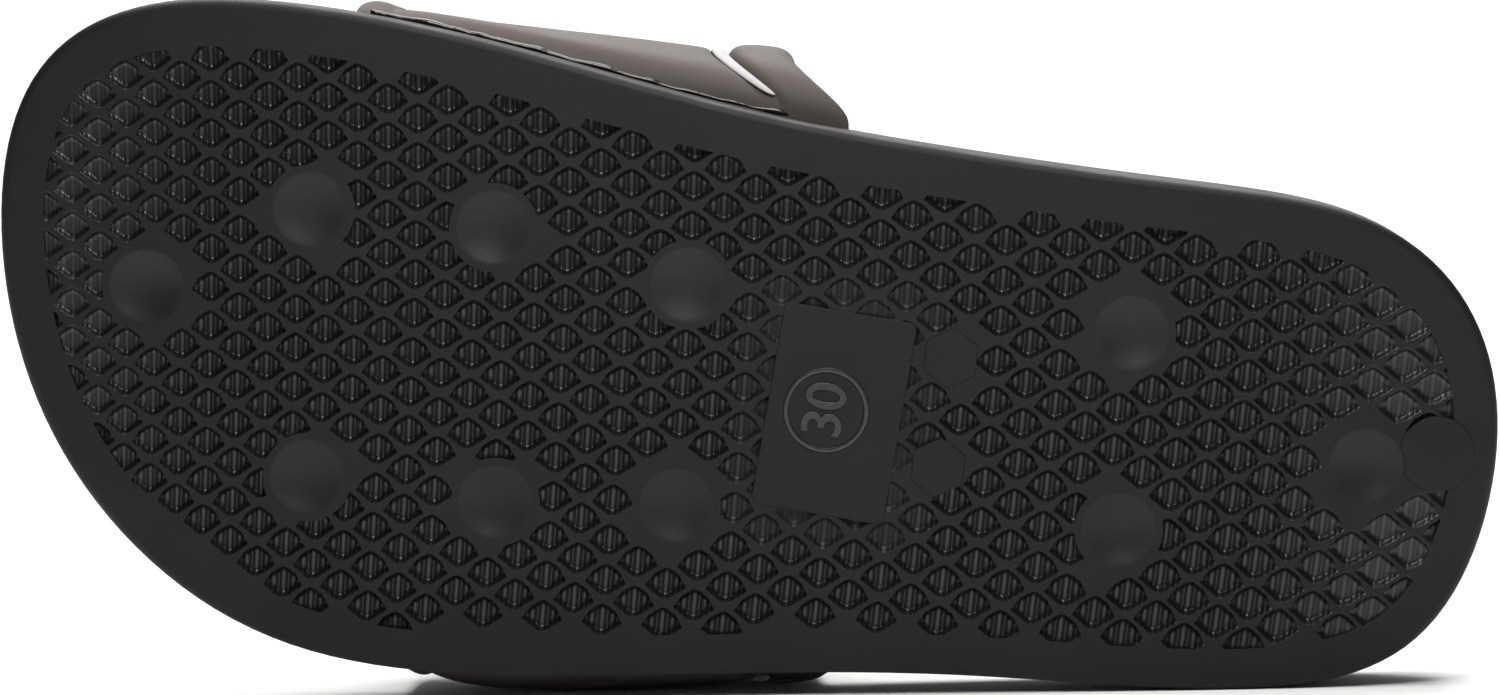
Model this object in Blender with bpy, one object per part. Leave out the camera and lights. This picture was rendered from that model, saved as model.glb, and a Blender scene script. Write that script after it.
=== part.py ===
"""A child's moulded slide sandal for the right foot, European size 30, lying on its outer side.

The pieces are modelled as the shoe stands, in its own frame: X runs from the toe tip to the heel tip,
Y points to the outer side of the foot, and Z points up from the flat of the tread. An empty then lays
the shoe down with its tread turned to -Y, so that the band and the edge of the heel meet the floor.
"""

import math
from collections import namedtuple

import bmesh
import bpy
import numpy as np
from mathutils import Matrix, Vector
from mathutils.geometry import intersect_point_tri

MM = 0.001

# Driving sizes of the shoe
SOLE_LENGTH = 204 * MM
BALL_WIDTH = 88 * MM
CLEARANCE = 0.3 * MM

# Outsole
TOE_SPRING = 2.4 * MM
HEEL_SPRING = 2.3 * MM
EDGE_ROUND = 1.2 * MM
RIM_WIDTH = 7.5 * MM
TOE_FLAT_START = 0.22
HEEL_FLAT_END = 0.74

# Tread: a lattice of diamond recesses between crossing ridges
DIAMOND_LENGTH = 8.18 * MM
DIAMOND_WIDTH = 5.36 * MM
RIDGE_WIDTH = 1.0 * MM
RECESS_DEPTH = 1.5 * MM
RECESS_DRAFT = 0.5 * MM
SHALLOWEST_RECESS = 0.5 * MM
ROW_SLANT = math.radians(3.3)
COLUMN_SLANT_TOE = math.radians(4.5)
COLUMN_SLANT_HEEL = math.radians(-3.5)
LATTICE_COLUMNS = range(-16, 34)
LATTICE_ROWS = range(-16, 20)

# Grip cups, size plate and the small six-sided pads on the tread
PAD_RADIUS = 6.0 * MM
PAD_RISE = 0.3 * MM
CUP_RADIUS = 4.4 * MM
CUP_DEPTH = 1.0 * MM
PLATE_LENGTH = 18.0 * MM
PLATE_WIDTH = 27.5 * MM
HEX_RADIUS = 3.8 * MM
HEEL_PAD_SHARE = 0.85

# Footbed
FOOTBED_STEP = 0.5 * MM
RIM_ROUND = 1.6 * MM
DISH_START = 4.5 * MM
DISH_POWER = 2.4

# Band over the foot
PANEL_THICKNESS = 3.4 * MM
FRONT_ROLL_THICKNESS = 4.0 * MM
REAR_ROLL_THICKNESS = 4.6 * MM
FRONT_ROLL_WIDTH = 5.0 * MM
REAR_ROLL_WIDTH = 9.4 * MM
GROOVE_WIDTH = 2.2 * MM
GROOVE_DEPTH = 1.2 * MM
PANEL_SHOULDER = 7.0 * MM
EDGE_TURN = 0.6 * MM
TUCK_THICKNESS = 1.6 * MM
TUCK_DEPTH = 9.0 * MM
TUCK_ROOM = 0.45 * MM
FRONT_HEIGHT = 42.0 * MM
REAR_HEIGHT = 56.0 * MM
STRIPE_WIDTH = 1.6 * MM
STRIPE_THICKNESS = 0.9 * MM

# The sole's edge at even turns from the toe tip to the heel tip, as shares of half the ball width.
# A turn's place along the length is (1 - cos turn) / 2.
EdgeRow = namedtuple("EdgeRow", "inner outer")
EDGE = (
    EdgeRow(0.363, -0.363),
    EdgeRow(0.707, 0.071),
    EdgeRow(0.903, 0.478),
    EdgeRow(0.988, 0.806),
    EdgeRow(0.970, 0.979),
    EdgeRow(0.905, 0.980),
    EdgeRow(0.812, 0.902),
    EdgeRow(0.778, 0.837),
    EdgeRow(0.756, 0.799),
    EdgeRow(0.746, 0.766),
    EdgeRow(0.631, 0.644),
    EdgeRow(0.374, 0.386),
    EdgeRow(0.000, 0.000),
)
EDGE_WAVE_COUNT = 10

# Heights along the sole, as shares of the seat height: the seam between outsole and footbed,
# the footbed's lowest line, and its rim on the inner and the outer side of the foot.
SEAT_HEIGHT = 15.5 * MM
HeightRow = namedtuple("HeightRow", "along seam floor inner_rim outer_rim")
HEIGHTS = (
    HeightRow(0.00, 0.50, 0.86, 0.96, 0.96),
    HeightRow(0.18, 0.50, 0.74, 0.92, 0.92),
    HeightRow(0.35, 0.52, 0.76, 0.98, 0.96),
    HeightRow(0.50, 0.60, 0.88, 1.20, 1.08),
    HeightRow(0.70, 0.73, 1.00, 1.34, 1.26),
    HeightRow(0.86, 0.77, 0.98, 1.38, 1.38),
    HeightRow(1.00, 0.77, 1.12, 1.40, 1.40),
)

# Where the band's front and rear edges lie along the sole, from the inner joint over the foot to
# the outer joint, as shares of the arch and of the sole's length.
BandRow = namedtuple("BandRow", "over front rear")
BAND_EDGES = (
    BandRow(0.00, 0.218, 0.551),
    BandRow(0.16, 0.232, 0.516),
    BandRow(0.50, 0.270, 0.520),
    BandRow(0.84, 0.294, 0.572),
    BandRow(1.00, 0.289, 0.589),
)

# The band's face on the outer side, from the shoe's axis, as shares of half the ball width. Behind its
# widest place it runs straight towards the edge of the heel. On the inner side one share holds all along.
ReachRow = namedtuple("ReachRow", "along reach")
OUTER_REACH = (
    ReachRow(0.284, 1.014),
    ReachRow(0.324, 1.055),
    ReachRow(0.363, 1.066),
    ReachRow(0.431, 1.025),
    ReachRow(0.495, 0.984),
    ReachRow(0.549, 0.930),
    ReachRow(0.590, 0.895),
)
INNER_REACH = 0.991

# How the band's lining leaves the joint on each side: out is the share of the way from the sole's
# edge to the widest place, and up is the share of the lower wall's height.
FootRow = namedtuple("FootRow", "out up")
OUTER_FOOT = (FootRow(0.20, 0.03), FootRow(0.80, 0.08), FootRow(1.00, 0.18))
INNER_FOOT = (FootRow(0.10, 0.09), FootRow(0.42, 0.42), FootRow(0.80, 0.92))
LOWER_WALL = 7.0 * MM
ARCH_SQUARENESS = 2.5
ARCH_STEPS = 9

# Places on the tread, as shares of the sole's length from the toe tip and of half the ball width
# towards the inner side.
Place = namedtuple("Place", "along inward")
LATTICE_START = Place(0.324, -0.240)
CUPS = (
    Place(0.103, 0.082),
    Place(0.205, 0.376),
    Place(0.326, 0.384),
    Place(0.457, 0.278),
    Place(0.222, -0.440),
    Place(0.347, -0.451),
    Place(0.466, -0.400),
    Place(0.750, 0.285),
    Place(0.757, -0.318),
    Place(0.914, -0.041),
)
FLAT_PAD = Place(0.960, 0.021)
PLATE = Place(0.562, -0.062)
HEXES = (Place(0.634, 0.147), Place(0.634, -0.190))

AROUND = 56
PAD_SIDES = 14
FLAT_ANGLE = 0.001
HALF_LENGTH = SOLE_LENGTH / 2
HALF_BALL = BALL_WIDTH / 2

# Densities against water, for the balance point
SOLE_DENSITY = 1.1
BAND_DENSITY = 0.9

# Colour, roughness
OUTSOLE_BLACK = ((0.020, 0.020, 0.021), 0.55)
FOOTBED_BLACK = ((0.024, 0.024, 0.025), 0.70)
BAND_BLACK = ((0.016, 0.016, 0.017), 0.38)
STRIPE_WHITE = ((0.80, 0.80, 0.79), 0.45)


# Shared curves

def through(places, values, at):
    """The smooth curve through a table's rows, read at the given places."""
    places, values = np.asarray(places, float), np.asarray(values, float)
    slopes = np.gradient(values, places)
    at = np.clip(at, places[0], places[-1])
    row = np.clip(np.searchsorted(places, at) - 1, 0, len(places) - 2)
    span = places[row + 1] - places[row]
    s = (at - places[row]) / span
    start, end = 2 * s**3 - 3 * s**2 + 1, 3 * s**2 - 2 * s**3
    leave, arrive = s**3 - 2 * s**2 + s, s**3 - s**2
    held = start * values[row] + end * values[row + 1]
    return held + span * (leave * slopes[row] + arrive * slopes[row + 1])


def smooth(share):
    share = np.clip(share, 0, 1)
    return share * share * (3 - 2 * share)


def side_at(turn, slope=False):
    """The edge's distance to the outer side at a turn: 0 is the toe tip, pi the heel tip, by the outer side."""
    outer = [row.outer for row in EDGE]
    inner = [-row.inner for row in EDGE[-2:0:-1]]
    waves = np.fft.rfft(outer + inner)[: EDGE_WAVE_COUNT + 1] / (2 * len(EDGE) - 2)
    order = np.arange(len(waves))
    waves = waves * np.where(order > 0, 2, 1) * (1j * order if slope else 1)
    return HALF_BALL * np.real(np.exp(1j * np.multiply.outer(turn, order)) @ waves)


def edge_at(turn, inset=0.0):
    """The outline's points at these turns, moved in along its normal."""
    x, y = HALF_LENGTH * (1 - np.cos(turn)), side_at(turn)
    dx, dy = HALF_LENGTH * np.sin(turn), side_at(turn, slope=True)
    long = np.hypot(dx, dy)
    return x + inset * dy / long, y - inset * dx / long


def sides_at(x):
    """The edge's Y on the inner and the outer side at a distance from the toe tip."""
    turn = np.arccos(np.clip(1 - x / HALF_LENGTH, -1, 1))
    return side_at(2 * math.pi - turn), side_at(turn)


def height_at(column, x):
    rows = [getattr(row, column) for row in HEIGHTS]
    return SEAT_HEIGHT * through([row.along for row in HEIGHTS], rows, np.asarray(x) / SOLE_LENGTH)


def tread_at(x):
    """The tread's height: flat between forefoot and heel, sprung up at both ends."""
    toe_flat, heel_flat = TOE_FLAT_START * SOLE_LENGTH, HEEL_FLAT_END * SOLE_LENGTH
    toe = np.clip((toe_flat - x) / toe_flat, 0, None)
    heel = np.clip((x - heel_flat) / (SOLE_LENGTH - heel_flat), 0, None)
    return TOE_SPRING * toe**2 + HEEL_SPRING * heel**2


def on_tread(place):
    return place.along * SOLE_LENGTH, -place.inward * HALF_BALL


# Shared building steps

def clear_scene():
    for thing in list(bpy.data.objects):
        bpy.data.objects.remove(thing)


def new_collection(name):
    collection = bpy.data.collections.new(name)
    bpy.context.scene.collection.children.link(collection)
    return collection


def new_material(name, finish):
    (red, green, blue), roughness = finish
    material = bpy.data.materials.new(name)
    material.use_nodes = True
    shader = material.node_tree.nodes["Principled BSDF"]
    shader.inputs["Base Color"].default_value = (red, green, blue, 1)
    shader.inputs["Roughness"].default_value = roughness
    shader.inputs["Metallic"].default_value = 0
    return material


def object_from(shape, name, collection, parent, material=None):
    """A bmesh becomes a named object under its parent."""
    bmesh.ops.recalc_face_normals(shape, faces=shape.faces)
    mesh = bpy.data.meshes.new(name)
    shape.to_mesh(mesh)
    shape.free()
    thing = bpy.data.objects.new(name, mesh)
    collection.objects.link(thing)
    thing.parent = parent
    if material:
        mesh.materials.append(material)
        mesh.shade_smooth()
        mesh.set_sharp_from_angle(angle=math.radians(35))
    return thing


def cutter_from(shape, name, cutters, parent):
    cutter = object_from(shape, name, cutters, parent)
    cutter.hide_render = True
    cutter.display_type = "WIRE"
    return cutter


def combine(thing, other, operation, solver="EXACT"):
    step = thing.modifiers.new(other.name, "BOOLEAN")
    step.operation = operation
    step.solver = solver
    step.object = other


def ring(inset, share, height):
    """A loop of points round the sole: inset from its edge, then drawn towards the middle line to a share."""
    turn = np.arange(AROUND) * 2 * math.pi / AROUND
    x, y = edge_at(turn, inset)
    middle_x = np.clip(x, HALF_BALL, SOLE_LENGTH - HALF_BALL * 0.8)
    inner, outer = sides_at(middle_x)
    x = middle_x + share * (x - middle_x)
    y = (inner + outer) / 2 + share * (y - (inner + outer) / 2)
    return np.column_stack([x, y, height(x, turn)])


def loft_rings(rings):
    """Loops bridged in order, and the first and last filled with strips across the sole."""
    shape = bmesh.new()
    loops = [[shape.verts.new(point) for point in points] for points in rings]
    for low, high in zip(loops, loops[1:]):
        for k in range(AROUND):
            shape.faces.new((low[k - 1], low[k], high[k], high[k - 1]))
    for loop in (loops[0], loops[-1]):
        for k in range(AROUND // 2):
            corners = (loop[k], loop[k + 1], loop[-k - 1], loop[-k])
            shape.faces.new(dict.fromkeys(corners))
    return shape


def loft_along(shape, loops):
    """Loops bridged in order, each end closed by strips between the two halves of its loop."""
    for before, after in zip(loops, loops[1:]):
        for k in range(len(before)):
            shape.faces.new((before[k - 1], before[k], after[k], after[k - 1]))
    for loop in (loops[0], loops[-1]):
        for k in range(len(loop) // 2 - 1 + len(loop) % 2):
            corners = (loop[k], loop[k + 1], loop[-k - 2], loop[-k - 1])
            shape.faces.new(dict.fromkeys(corners))


# Outsole

def outsole_block():
    """The outsole without its tread: rounded bottom edge, upright wall, plain top at the seam."""

    def bottom(lift):
        return lambda x, turn: tread_at(x) + lift

    def seam(x, turn):
        return height_at("seam", x)

    rings = [ring(EDGE_ROUND, 1, bottom(0))]
    for step in (1, 2, 3):
        bend = step * math.pi / 6
        inset = EDGE_ROUND * (1 - math.sin(bend))
        rings.append(ring(inset, 1, bottom(EDGE_ROUND * (1 - math.cos(bend)))))
    rings.append(ring(0, 1, seam))
    block = loft_rings(rings)
    edges = [edge for edge in block.edges if edge.is_manifold and edge.calc_face_angle() < FLAT_ANGLE]
    flat = [edge for edge in edges if max(vertex.co.z for vertex in edge.verts) < FLAT_ANGLE * MM]
    bmesh.ops.dissolve_edges(block, edges=flat, use_verts=False)
    return block


def lattice_places():
    """The centres of the diamonds that lie inside the rim and clear of the size plate."""
    first_x, first_y = on_tread(LATTICE_START)
    places = []
    for i in LATTICE_COLUMNS:
        for j in LATTICE_ROWS:
            if (i + j) % 2:
                continue
            x = first_x + i * DIAMOND_LENGTH / 2
            slant = COLUMN_SLANT_TOE + (COLUMN_SLANT_HEEL - COLUMN_SLANT_TOE) * x / SOLE_LENGTH
            y = first_y + j * DIAMOND_WIDTH / 2 - (x - first_x) * math.tan(ROW_SLANT)
            x += y * math.tan(slant)
            deep = tread_at(x) < RECESS_DEPTH - SHALLOWEST_RECESS
            if deep and inside_rim(x, y) and not on_plate(x, y) and not on_pad(x, y):
                places.append((x, y))
    return places


def inside_rim(x, y):
    """True where a whole diamond fits inside the tread's flat rim."""
    turn = np.linspace(0, 2 * math.pi, 181)
    edge_x, edge_y = edge_at(turn)
    margin = RIM_WIDTH + DIAMOND_WIDTH / 3
    inner, outer = sides_at(x)
    return bool(inner < y < outer and np.hypot(edge_x - x, edge_y - y).min() > margin)


def on_plate(x, y):
    middle_x, middle_y = on_tread(PLATE)
    reach_x = (PLATE_LENGTH + DIAMOND_LENGTH / 3) / 2
    reach_y = (PLATE_WIDTH + DIAMOND_WIDTH / 3) / 2
    return abs(x - middle_x) < reach_x and abs(y - middle_y) < reach_y


def on_pad(x, y):
    """True where a diamond's centre lies under one of the pads."""
    pads = [on_tread(place) for place in (*CUPS, FLAT_PAD, *HEXES)]
    return min(math.hypot(x - pad_x, y - pad_y) for pad_x, pad_y in pads) < PAD_RADIUS * 0.9


def recess_cutters():
    """One tapered four-sided plug for each diamond, all in one mesh."""
    steep = math.atan2(DIAMOND_WIDTH, DIAMOND_LENGTH)
    half_length = DIAMOND_LENGTH / 2 - RIDGE_WIDTH / 2 / math.sin(steep)
    half_width = half_length * DIAMOND_WIDTH / DIAMOND_LENGTH
    taper = RECESS_DRAFT / math.sin(steep) / half_length
    over = RECESS_DEPTH / 3
    shape = bmesh.new()
    for x, y in lattice_places():
        place = Matrix.Translation((x, y, (RECESS_DEPTH - over) / 2))
        turned = Matrix.Rotation(-ROW_SLANT, 4, "Z")
        bmesh.ops.create_cone(
            shape,
            cap_ends=True,
            segments=4,
            radius1=1 + taper * over / RECESS_DEPTH,
            radius2=1 - taper,
            depth=RECESS_DEPTH + over,
            matrix=place @ turned @ Matrix.Diagonal((half_length, half_width, 1, 1)),
        )
    return shape


def add_pad(shape, place, radius, sides):
    """A flat pad that stands a little proud of the tread."""
    x, y = on_tread(place)
    root = EDGE_ROUND + RECESS_DEPTH
    low = float(tread_at(x)) - PAD_RISE
    middle = Matrix.Translation((x, y, (low + root) / 2))
    bmesh.ops.create_cone(
        shape,
        cap_ends=True,
        segments=sides,
        radius1=radius,
        radius2=radius,
        depth=root - low,
        matrix=middle @ Matrix.Rotation(-ROW_SLANT, 4, "Z"),
    )


def tread_pads():
    """The grip cups' pads, the flat pad at the heel and the two six-sided pads."""
    shape = bmesh.new()
    for place in CUPS:
        add_pad(shape, place, PAD_RADIUS, PAD_SIDES)
    for place in HEXES:
        add_pad(shape, place, HEX_RADIUS, 6)
    return shape


def heel_pad():
    shape = bmesh.new()
    add_pad(shape, FLAT_PAD, PAD_RADIUS * HEEL_PAD_SHARE, PAD_SIDES)
    return shape


def size_plate():
    """The smooth plate under the arch, left without its recesses and a little proud."""
    x, y = on_tread(PLATE)
    high = EDGE_ROUND + RECESS_DEPTH
    shape = bmesh.new()
    bmesh.ops.create_cube(shape, size=1)
    bmesh.ops.scale(shape, vec=(PLATE_LENGTH, PLATE_WIDTH, high + PAD_RISE / 2), verts=shape.verts)
    bmesh.ops.rotate(shape, matrix=Matrix.Rotation(ROW_SLANT, 3, "Z"), verts=shape.verts)
    bmesh.ops.translate(shape, vec=(x, y, (high - PAD_RISE / 2) / 2), verts=shape.verts)
    return shape


def cup_cutters():
    """The shallow round cups in the pads."""
    shape = bmesh.new()
    for place in CUPS:
        x, y = on_tread(place)
        mouth = float(tread_at(x)) - PAD_RISE
        size = Matrix.Diagonal((CUP_RADIUS, CUP_RADIUS, CUP_DEPTH + PAD_RISE, 1))
        at = Matrix.Translation((x, y, mouth - PAD_RISE))
        bmesh.ops.create_uvsphere(shape, u_segments=10, v_segments=6, radius=1, matrix=at @ size)
    return shape


# Footbed

def footbed_block():
    """The contoured footbed: flat underside at the seam, upright edge, rounded rim, dished top."""

    def underside(x, turn):
        return height_at("seam", x) + CLEARANCE

    def rim(x, turn):
        inward = (1 - np.sin(turn)) / 2
        inner, outer = height_at("inner_rim", x), height_at("outer_rim", x)
        return outer + (inner - outer) * inward

    def under_rim(drop):
        return lambda x, turn: rim(x, turn) - drop

    def dished(share):
        def height(x, turn):
            low = height_at("floor", x)
            return low + (rim(x, turn) - RIM_ROUND / 4 - low) * share**DISH_POWER

        return height

    rings = [ring(FOOTBED_STEP, share, underside) for share in (0.12, 0.6, 1)]
    for step in (0, 1, 2):
        bend = step * math.pi / 4
        inset = FOOTBED_STEP + RIM_ROUND * (1 - math.cos(bend))
        rings.append(ring(inset, 1, under_rim(RIM_ROUND * (1 - math.sin(bend)))))
    rings += [ring(DISH_START, share, dished(share)) for share in (1, 0.85, 0.66, 0.4, 0.12)]
    return loft_rings(rings)


# Band over the foot

def foot_rows(rows, edge, reach, joint):
    """The lining's points from the tuck under the footbed up to the widest place, on one side."""
    tuck = joint + TUCK_THICKNESS / 2
    points = [(edge - TUCK_DEPTH, tuck), (edge - TUCK_DEPTH / 2, tuck), (edge - EDGE_TURN, tuck)]
    rise = LOWER_WALL - TUCK_THICKNESS / 2
    points += [(edge + row.out * (reach - edge), tuck + row.up * rise) for row in rows]
    return points


def arch_at(x):
    """The lining's line over the foot at a distance from the toe tip, from the inner tuck to the outer one."""
    inner, outer = (float(side) for side in sides_at(x))
    middle = (inner + outer) / 2
    joint = float(height_at("seam", x)) + CLEARANCE / 2
    spring = joint + LOWER_WALL
    reaches = through([row.along for row in OUTER_REACH], [row.reach for row in OUTER_REACH], x / SOLE_LENGTH)
    outer_reach = float(reaches) * HALF_BALL - PANEL_THICKNESS - middle
    inner_reach = INNER_REACH * HALF_BALL - PANEL_THICKNESS + middle
    front, rear = BAND_EDGES[2].front * SOLE_LENGTH, BAND_EDGES[2].rear * SOLE_LENGTH
    top = FRONT_HEIGHT + (REAR_HEIGHT - FRONT_HEIGHT) * (x - front) / (rear - front) - PANEL_THICKNESS
    line = [(-y, z) for y, z in foot_rows(INNER_FOOT, middle - inner, inner_reach, joint)]
    for step in range(2 * ARCH_STEPS + 1):
        bend = step * math.pi / (2 * ARCH_STEPS)
        reach = inner_reach if step < ARCH_STEPS else outer_reach
        power = 2 / ARCH_SQUARENESS
        y = -math.copysign(abs(math.cos(bend)) ** power, math.cos(bend)) * reach
        line.append((y, spring + (top - spring) * math.sin(bend) ** power))
    line += foot_rows(OUTER_FOOT, outer - middle, outer_reach, joint)[::-1]
    return np.array(line) + (middle, 0)


ARCH_POINTS = 2 * (3 + len(OUTER_FOOT)) + 2 * ARCH_STEPS + 1
TUCK_POINTS = 3


def arch_normals(line):
    along = np.gradient(line, axis=0)
    along /= np.linalg.norm(along, axis=1)[:, None]
    return np.column_stack([-along[:, 1], along[:, 0]])


def fullness(point):
    """The share of its full thickness that the band has at a point of its arch: none in the tucks."""
    from_end = min(point, ARCH_POINTS - 1 - point)
    return float(smooth((from_end - TUCK_POINTS + 1) / len(OUTER_FOOT)))


def band_edges(point):
    """The distances from the toe tip of the band's front and rear edges at a point of its arch."""
    over = (point - TUCK_POINTS) / (ARCH_POINTS - 1 - 2 * TUCK_POINTS)
    shares = [row.over for row in BAND_EDGES]
    front = through(shares, [row.front for row in BAND_EDGES], over)
    rear = through(shares, [row.rear for row in BAND_EDGES], over)
    return float(front) * SOLE_LENGTH, float(rear) * SOLE_LENGTH


# The band's thickness across its width: the distance from its front or rear edge, the height of its
# face over the lining's line, and how far the lining itself is rounded off there.
CrossRow = namedtuple("CrossRow", "edge distance face lining")
GROOVE_END = REAR_ROLL_WIDTH + GROOVE_WIDTH
CROSS = (
    CrossRow("front", 0.0, FRONT_ROLL_THICKNESS * 0.60, 1.5 * MM),
    CrossRow("front", EDGE_TURN, FRONT_ROLL_THICKNESS * 0.88, 0.5 * MM),
    CrossRow("front", FRONT_ROLL_WIDTH * 0.38, FRONT_ROLL_THICKNESS, 0.0),
    CrossRow("front", FRONT_ROLL_WIDTH * 0.75, FRONT_ROLL_THICKNESS * 0.96, 0.0),
    CrossRow("front", FRONT_ROLL_WIDTH, PANEL_THICKNESS * 0.93, 0.0),
    CrossRow("front", FRONT_ROLL_WIDTH * 1.3, PANEL_THICKNESS * 0.97, 0.0),
    CrossRow("front", FRONT_ROLL_WIDTH * 3.0, PANEL_THICKNESS, 0.0),
    CrossRow("rear", GROOVE_END + PANEL_SHOULDER, PANEL_THICKNESS, 0.0),
    CrossRow("rear", GROOVE_END + PANEL_SHOULDER * 0.07, PANEL_THICKNESS * 0.97, 0.0),
    CrossRow("rear", GROOVE_END, PANEL_THICKNESS - GROOVE_DEPTH, 0.0),
    CrossRow("rear", REAR_ROLL_WIDTH, PANEL_THICKNESS - GROOVE_DEPTH, 0.0),
    CrossRow("rear", REAR_ROLL_WIDTH - EDGE_TURN, REAR_ROLL_THICKNESS * 0.86, 0.0),
    CrossRow("rear", REAR_ROLL_WIDTH * 0.75, REAR_ROLL_THICKNESS * 0.98, 0.0),
    CrossRow("rear", REAR_ROLL_WIDTH * 0.45, REAR_ROLL_THICKNESS, 0.0),
    CrossRow("rear", REAR_ROLL_WIDTH * 0.21, REAR_ROLL_THICKNESS * 0.97, 0.0),
    CrossRow("rear", EDGE_TURN, REAR_ROLL_THICKNESS * 0.80, 0.5 * MM),
    CrossRow("rear", 0.0, REAR_ROLL_THICKNESS * 0.52, 1.5 * MM),
)


def band_point(point, row_edge, distance, height):
    """A point at a height over the lining, at a place along the arch and across the band."""
    front, rear = band_edges(point)
    x = front + distance if row_edge == "front" else rear - distance
    line = arch_at(x)
    y, z = line[point] + height * arch_normals(line)[point]
    return x, y, z


def band_shell(grow=0.0):
    """The band as one closed wall: its lining, its face with both rolls and the groove, and its edges."""
    shape = bmesh.new()
    loops = []
    for point in range(ARCH_POINTS):
        full = fullness(point)
        inward = grow if point == 0 else -grow if point == ARCH_POINTS - 1 else 0
        face, lining = [], []
        for row in CROSS:
            stretch = -grow if row.distance == 0 else 0
            high = TUCK_THICKNESS + (row.face - TUCK_THICKNESS) * full
            low = min(row.lining, TUCK_THICKNESS / 4 + row.lining * full / 2)
            for side, height in ((face, high + grow), (lining, low - grow)):
                x, y, z = band_point(point, row.edge, row.distance + stretch, height)
                side.append(shape.verts.new((x, y + inward, z)))
        loops.append(face + lining[::-1])
    loft_along(shape, loops)
    return shape


def stripe_strip():
    """The white strip that lies in the band's groove, from joint to joint."""
    middle = REAR_ROLL_WIDTH + GROOVE_WIDTH / 2
    floor = PANEL_THICKNESS - GROOVE_DEPTH + CLEARANCE
    corners = (
        (-STRIPE_WIDTH / 2, floor),
        (STRIPE_WIDTH / 2, floor),
        (STRIPE_WIDTH / 2, floor + STRIPE_THICKNESS * 0.7),
        (0.0, floor + STRIPE_THICKNESS),
        (-STRIPE_WIDTH / 2, floor + STRIPE_THICKNESS * 0.7),
    )
    shape = bmesh.new()
    loops = []
    start = TUCK_POINTS + len(OUTER_FOOT)
    for point in range(start, ARCH_POINTS - start):
        places = [band_point(point, "rear", middle + across, height) for across, height in corners]
        loops.append([shape.verts.new(place) for place in places])
    loft_along(shape, loops)
    return shape


# Lying on its outer side

def triangles_of(thing):
    """The corners of a finished piece's triangles in the shoe's own frame."""
    solid = thing.evaluated_get(bpy.context.evaluated_depsgraph_get())
    mesh = solid.to_mesh()
    mesh.calc_loop_triangles()
    places = np.array([vertex.co for vertex in mesh.vertices])
    corners = places[[list(triangle.vertices) for triangle in mesh.loop_triangles]]
    solid.to_mesh_clear()
    return corners


def centre_of_mass(weighed):
    """The balance point of the pieces, each a pair of its triangles and its density."""
    total, moment = 0.0, np.zeros(3)
    for corners, density in weighed:
        volumes = np.linalg.det(corners) / 6 * density
        total += volumes.sum()
        moment += (volumes[:, None] * corners.sum(axis=1) / 4).sum(axis=0)
    return Vector(moment / total)


def resting_normal(points, centre):
    """The outward normal of the face that the shoe rests on: the one of its hull under its balance
    point on the outer side."""
    hull = bmesh.new()
    for point in points:
        hull.verts.new(point)
    bmesh.ops.convex_hull(hull, input=hull.verts)
    found = Vector((0, 1, 0))
    for face in hull.faces:
        normal = face.normal if face.normal.y > 0 else -face.normal
        out = normal.dot(face.calc_center_median() - centre) > 0
        if not out or normal.y < 0.9:
            continue
        under = centre + normal * normal.dot(face.verts[0].co - centre)
        if intersect_point_tri(under, *(vertex.co for vertex in face.verts[:3])):
            found = normal.copy()
    hull.free()
    return found


def lay_down(frame, pieces):
    """Turns the shoe's frame so that its outer side meets the floor, and centres it over the origin."""
    weighed = [(triangles_of(thing), density) for thing, density in pieces]
    points = np.unique(np.concatenate([corners.reshape(-1, 3) for corners, _ in weighed]), axis=0)
    up = -resting_normal(points, centre_of_mass(weighed))
    away = (Vector((0, 0, 1)) - up * up.z).normalized()
    turn = Matrix((away.cross(up), away, up))
    turned = points @ np.array(turn).T
    low, high = turned.min(axis=0), turned.max(axis=0)
    middle = (low + high) / 2
    frame.matrix_world = Matrix.Translation((-middle[0], -middle[1], -low[2])) @ turn.to_4x4()


def main():
    clear_scene()
    slide = new_collection("slide_sandal")
    cutters = new_collection("slide_sandal_cutters")
    frame = bpy.data.objects.new("shoe_frame", None)
    slide.objects.link(frame)

    outsole = object_from(
        outsole_block(), "outsole", slide, frame, new_material("outsole_rubber", OUTSOLE_BLACK)
    )
    footbed = object_from(
        footbed_block(), "footbed", slide, frame, new_material("footbed_foam", FOOTBED_BLACK)
    )
    band = object_from(
        band_shell(), "upper_band", slide, frame, new_material("band_cover", BAND_BLACK)
    )
    stripe = object_from(
        stripe_strip(), "edge_stripe", slide, frame, new_material("stripe_white", STRIPE_WHITE)
    )

    tuck_room = cutter_from(band_shell(grow=TUCK_ROOM), "tuck_room", cutters, frame)
    steps = (
        ("recess_plugs", recess_cutters, "DIFFERENCE"),
        ("pad_blocks", tread_pads, "UNION"),
        ("heel_pad_block", heel_pad, "UNION"),
        ("plate_block", size_plate, "UNION"),
        ("cup_bowls", cup_cutters, "DIFFERENCE"),
    )
    for name, shape, operation in steps:
        combine(outsole, cutter_from(shape(), name, cutters, frame), operation, "MANIFOLD")
    combine(outsole, tuck_room, "DIFFERENCE", "MANIFOLD")
    combine(footbed, tuck_room, "DIFFERENCE", "MANIFOLD")

    bpy.context.view_layer.update()
    sole_pieces = [(outsole, SOLE_DENSITY), (footbed, SOLE_DENSITY)]
    lay_down(frame, sole_pieces + [(band, BAND_DENSITY), (stripe, BAND_DENSITY)])


main()
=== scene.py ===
"""The looks of a child's moulded slide sandal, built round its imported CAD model.

The shoe lies on its outer side with its tread turned to the camera. Its pieces are modelled as the shoe
stands: X runs from the toe tip to the heel tip, Y points to the outer side of the foot, and Z points up
from the flat of the tread. Each finished mesh is then laid down with the matrix LAID.
"""

import logging
import math
from dataclasses import dataclass, field
from enum import Enum
from typing import Callable, Iterable, NamedTuple, Optional, Sequence, Union

import bmesh
import bpy
import numpy as np
from mathutils import Matrix, Vector, noise


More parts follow.
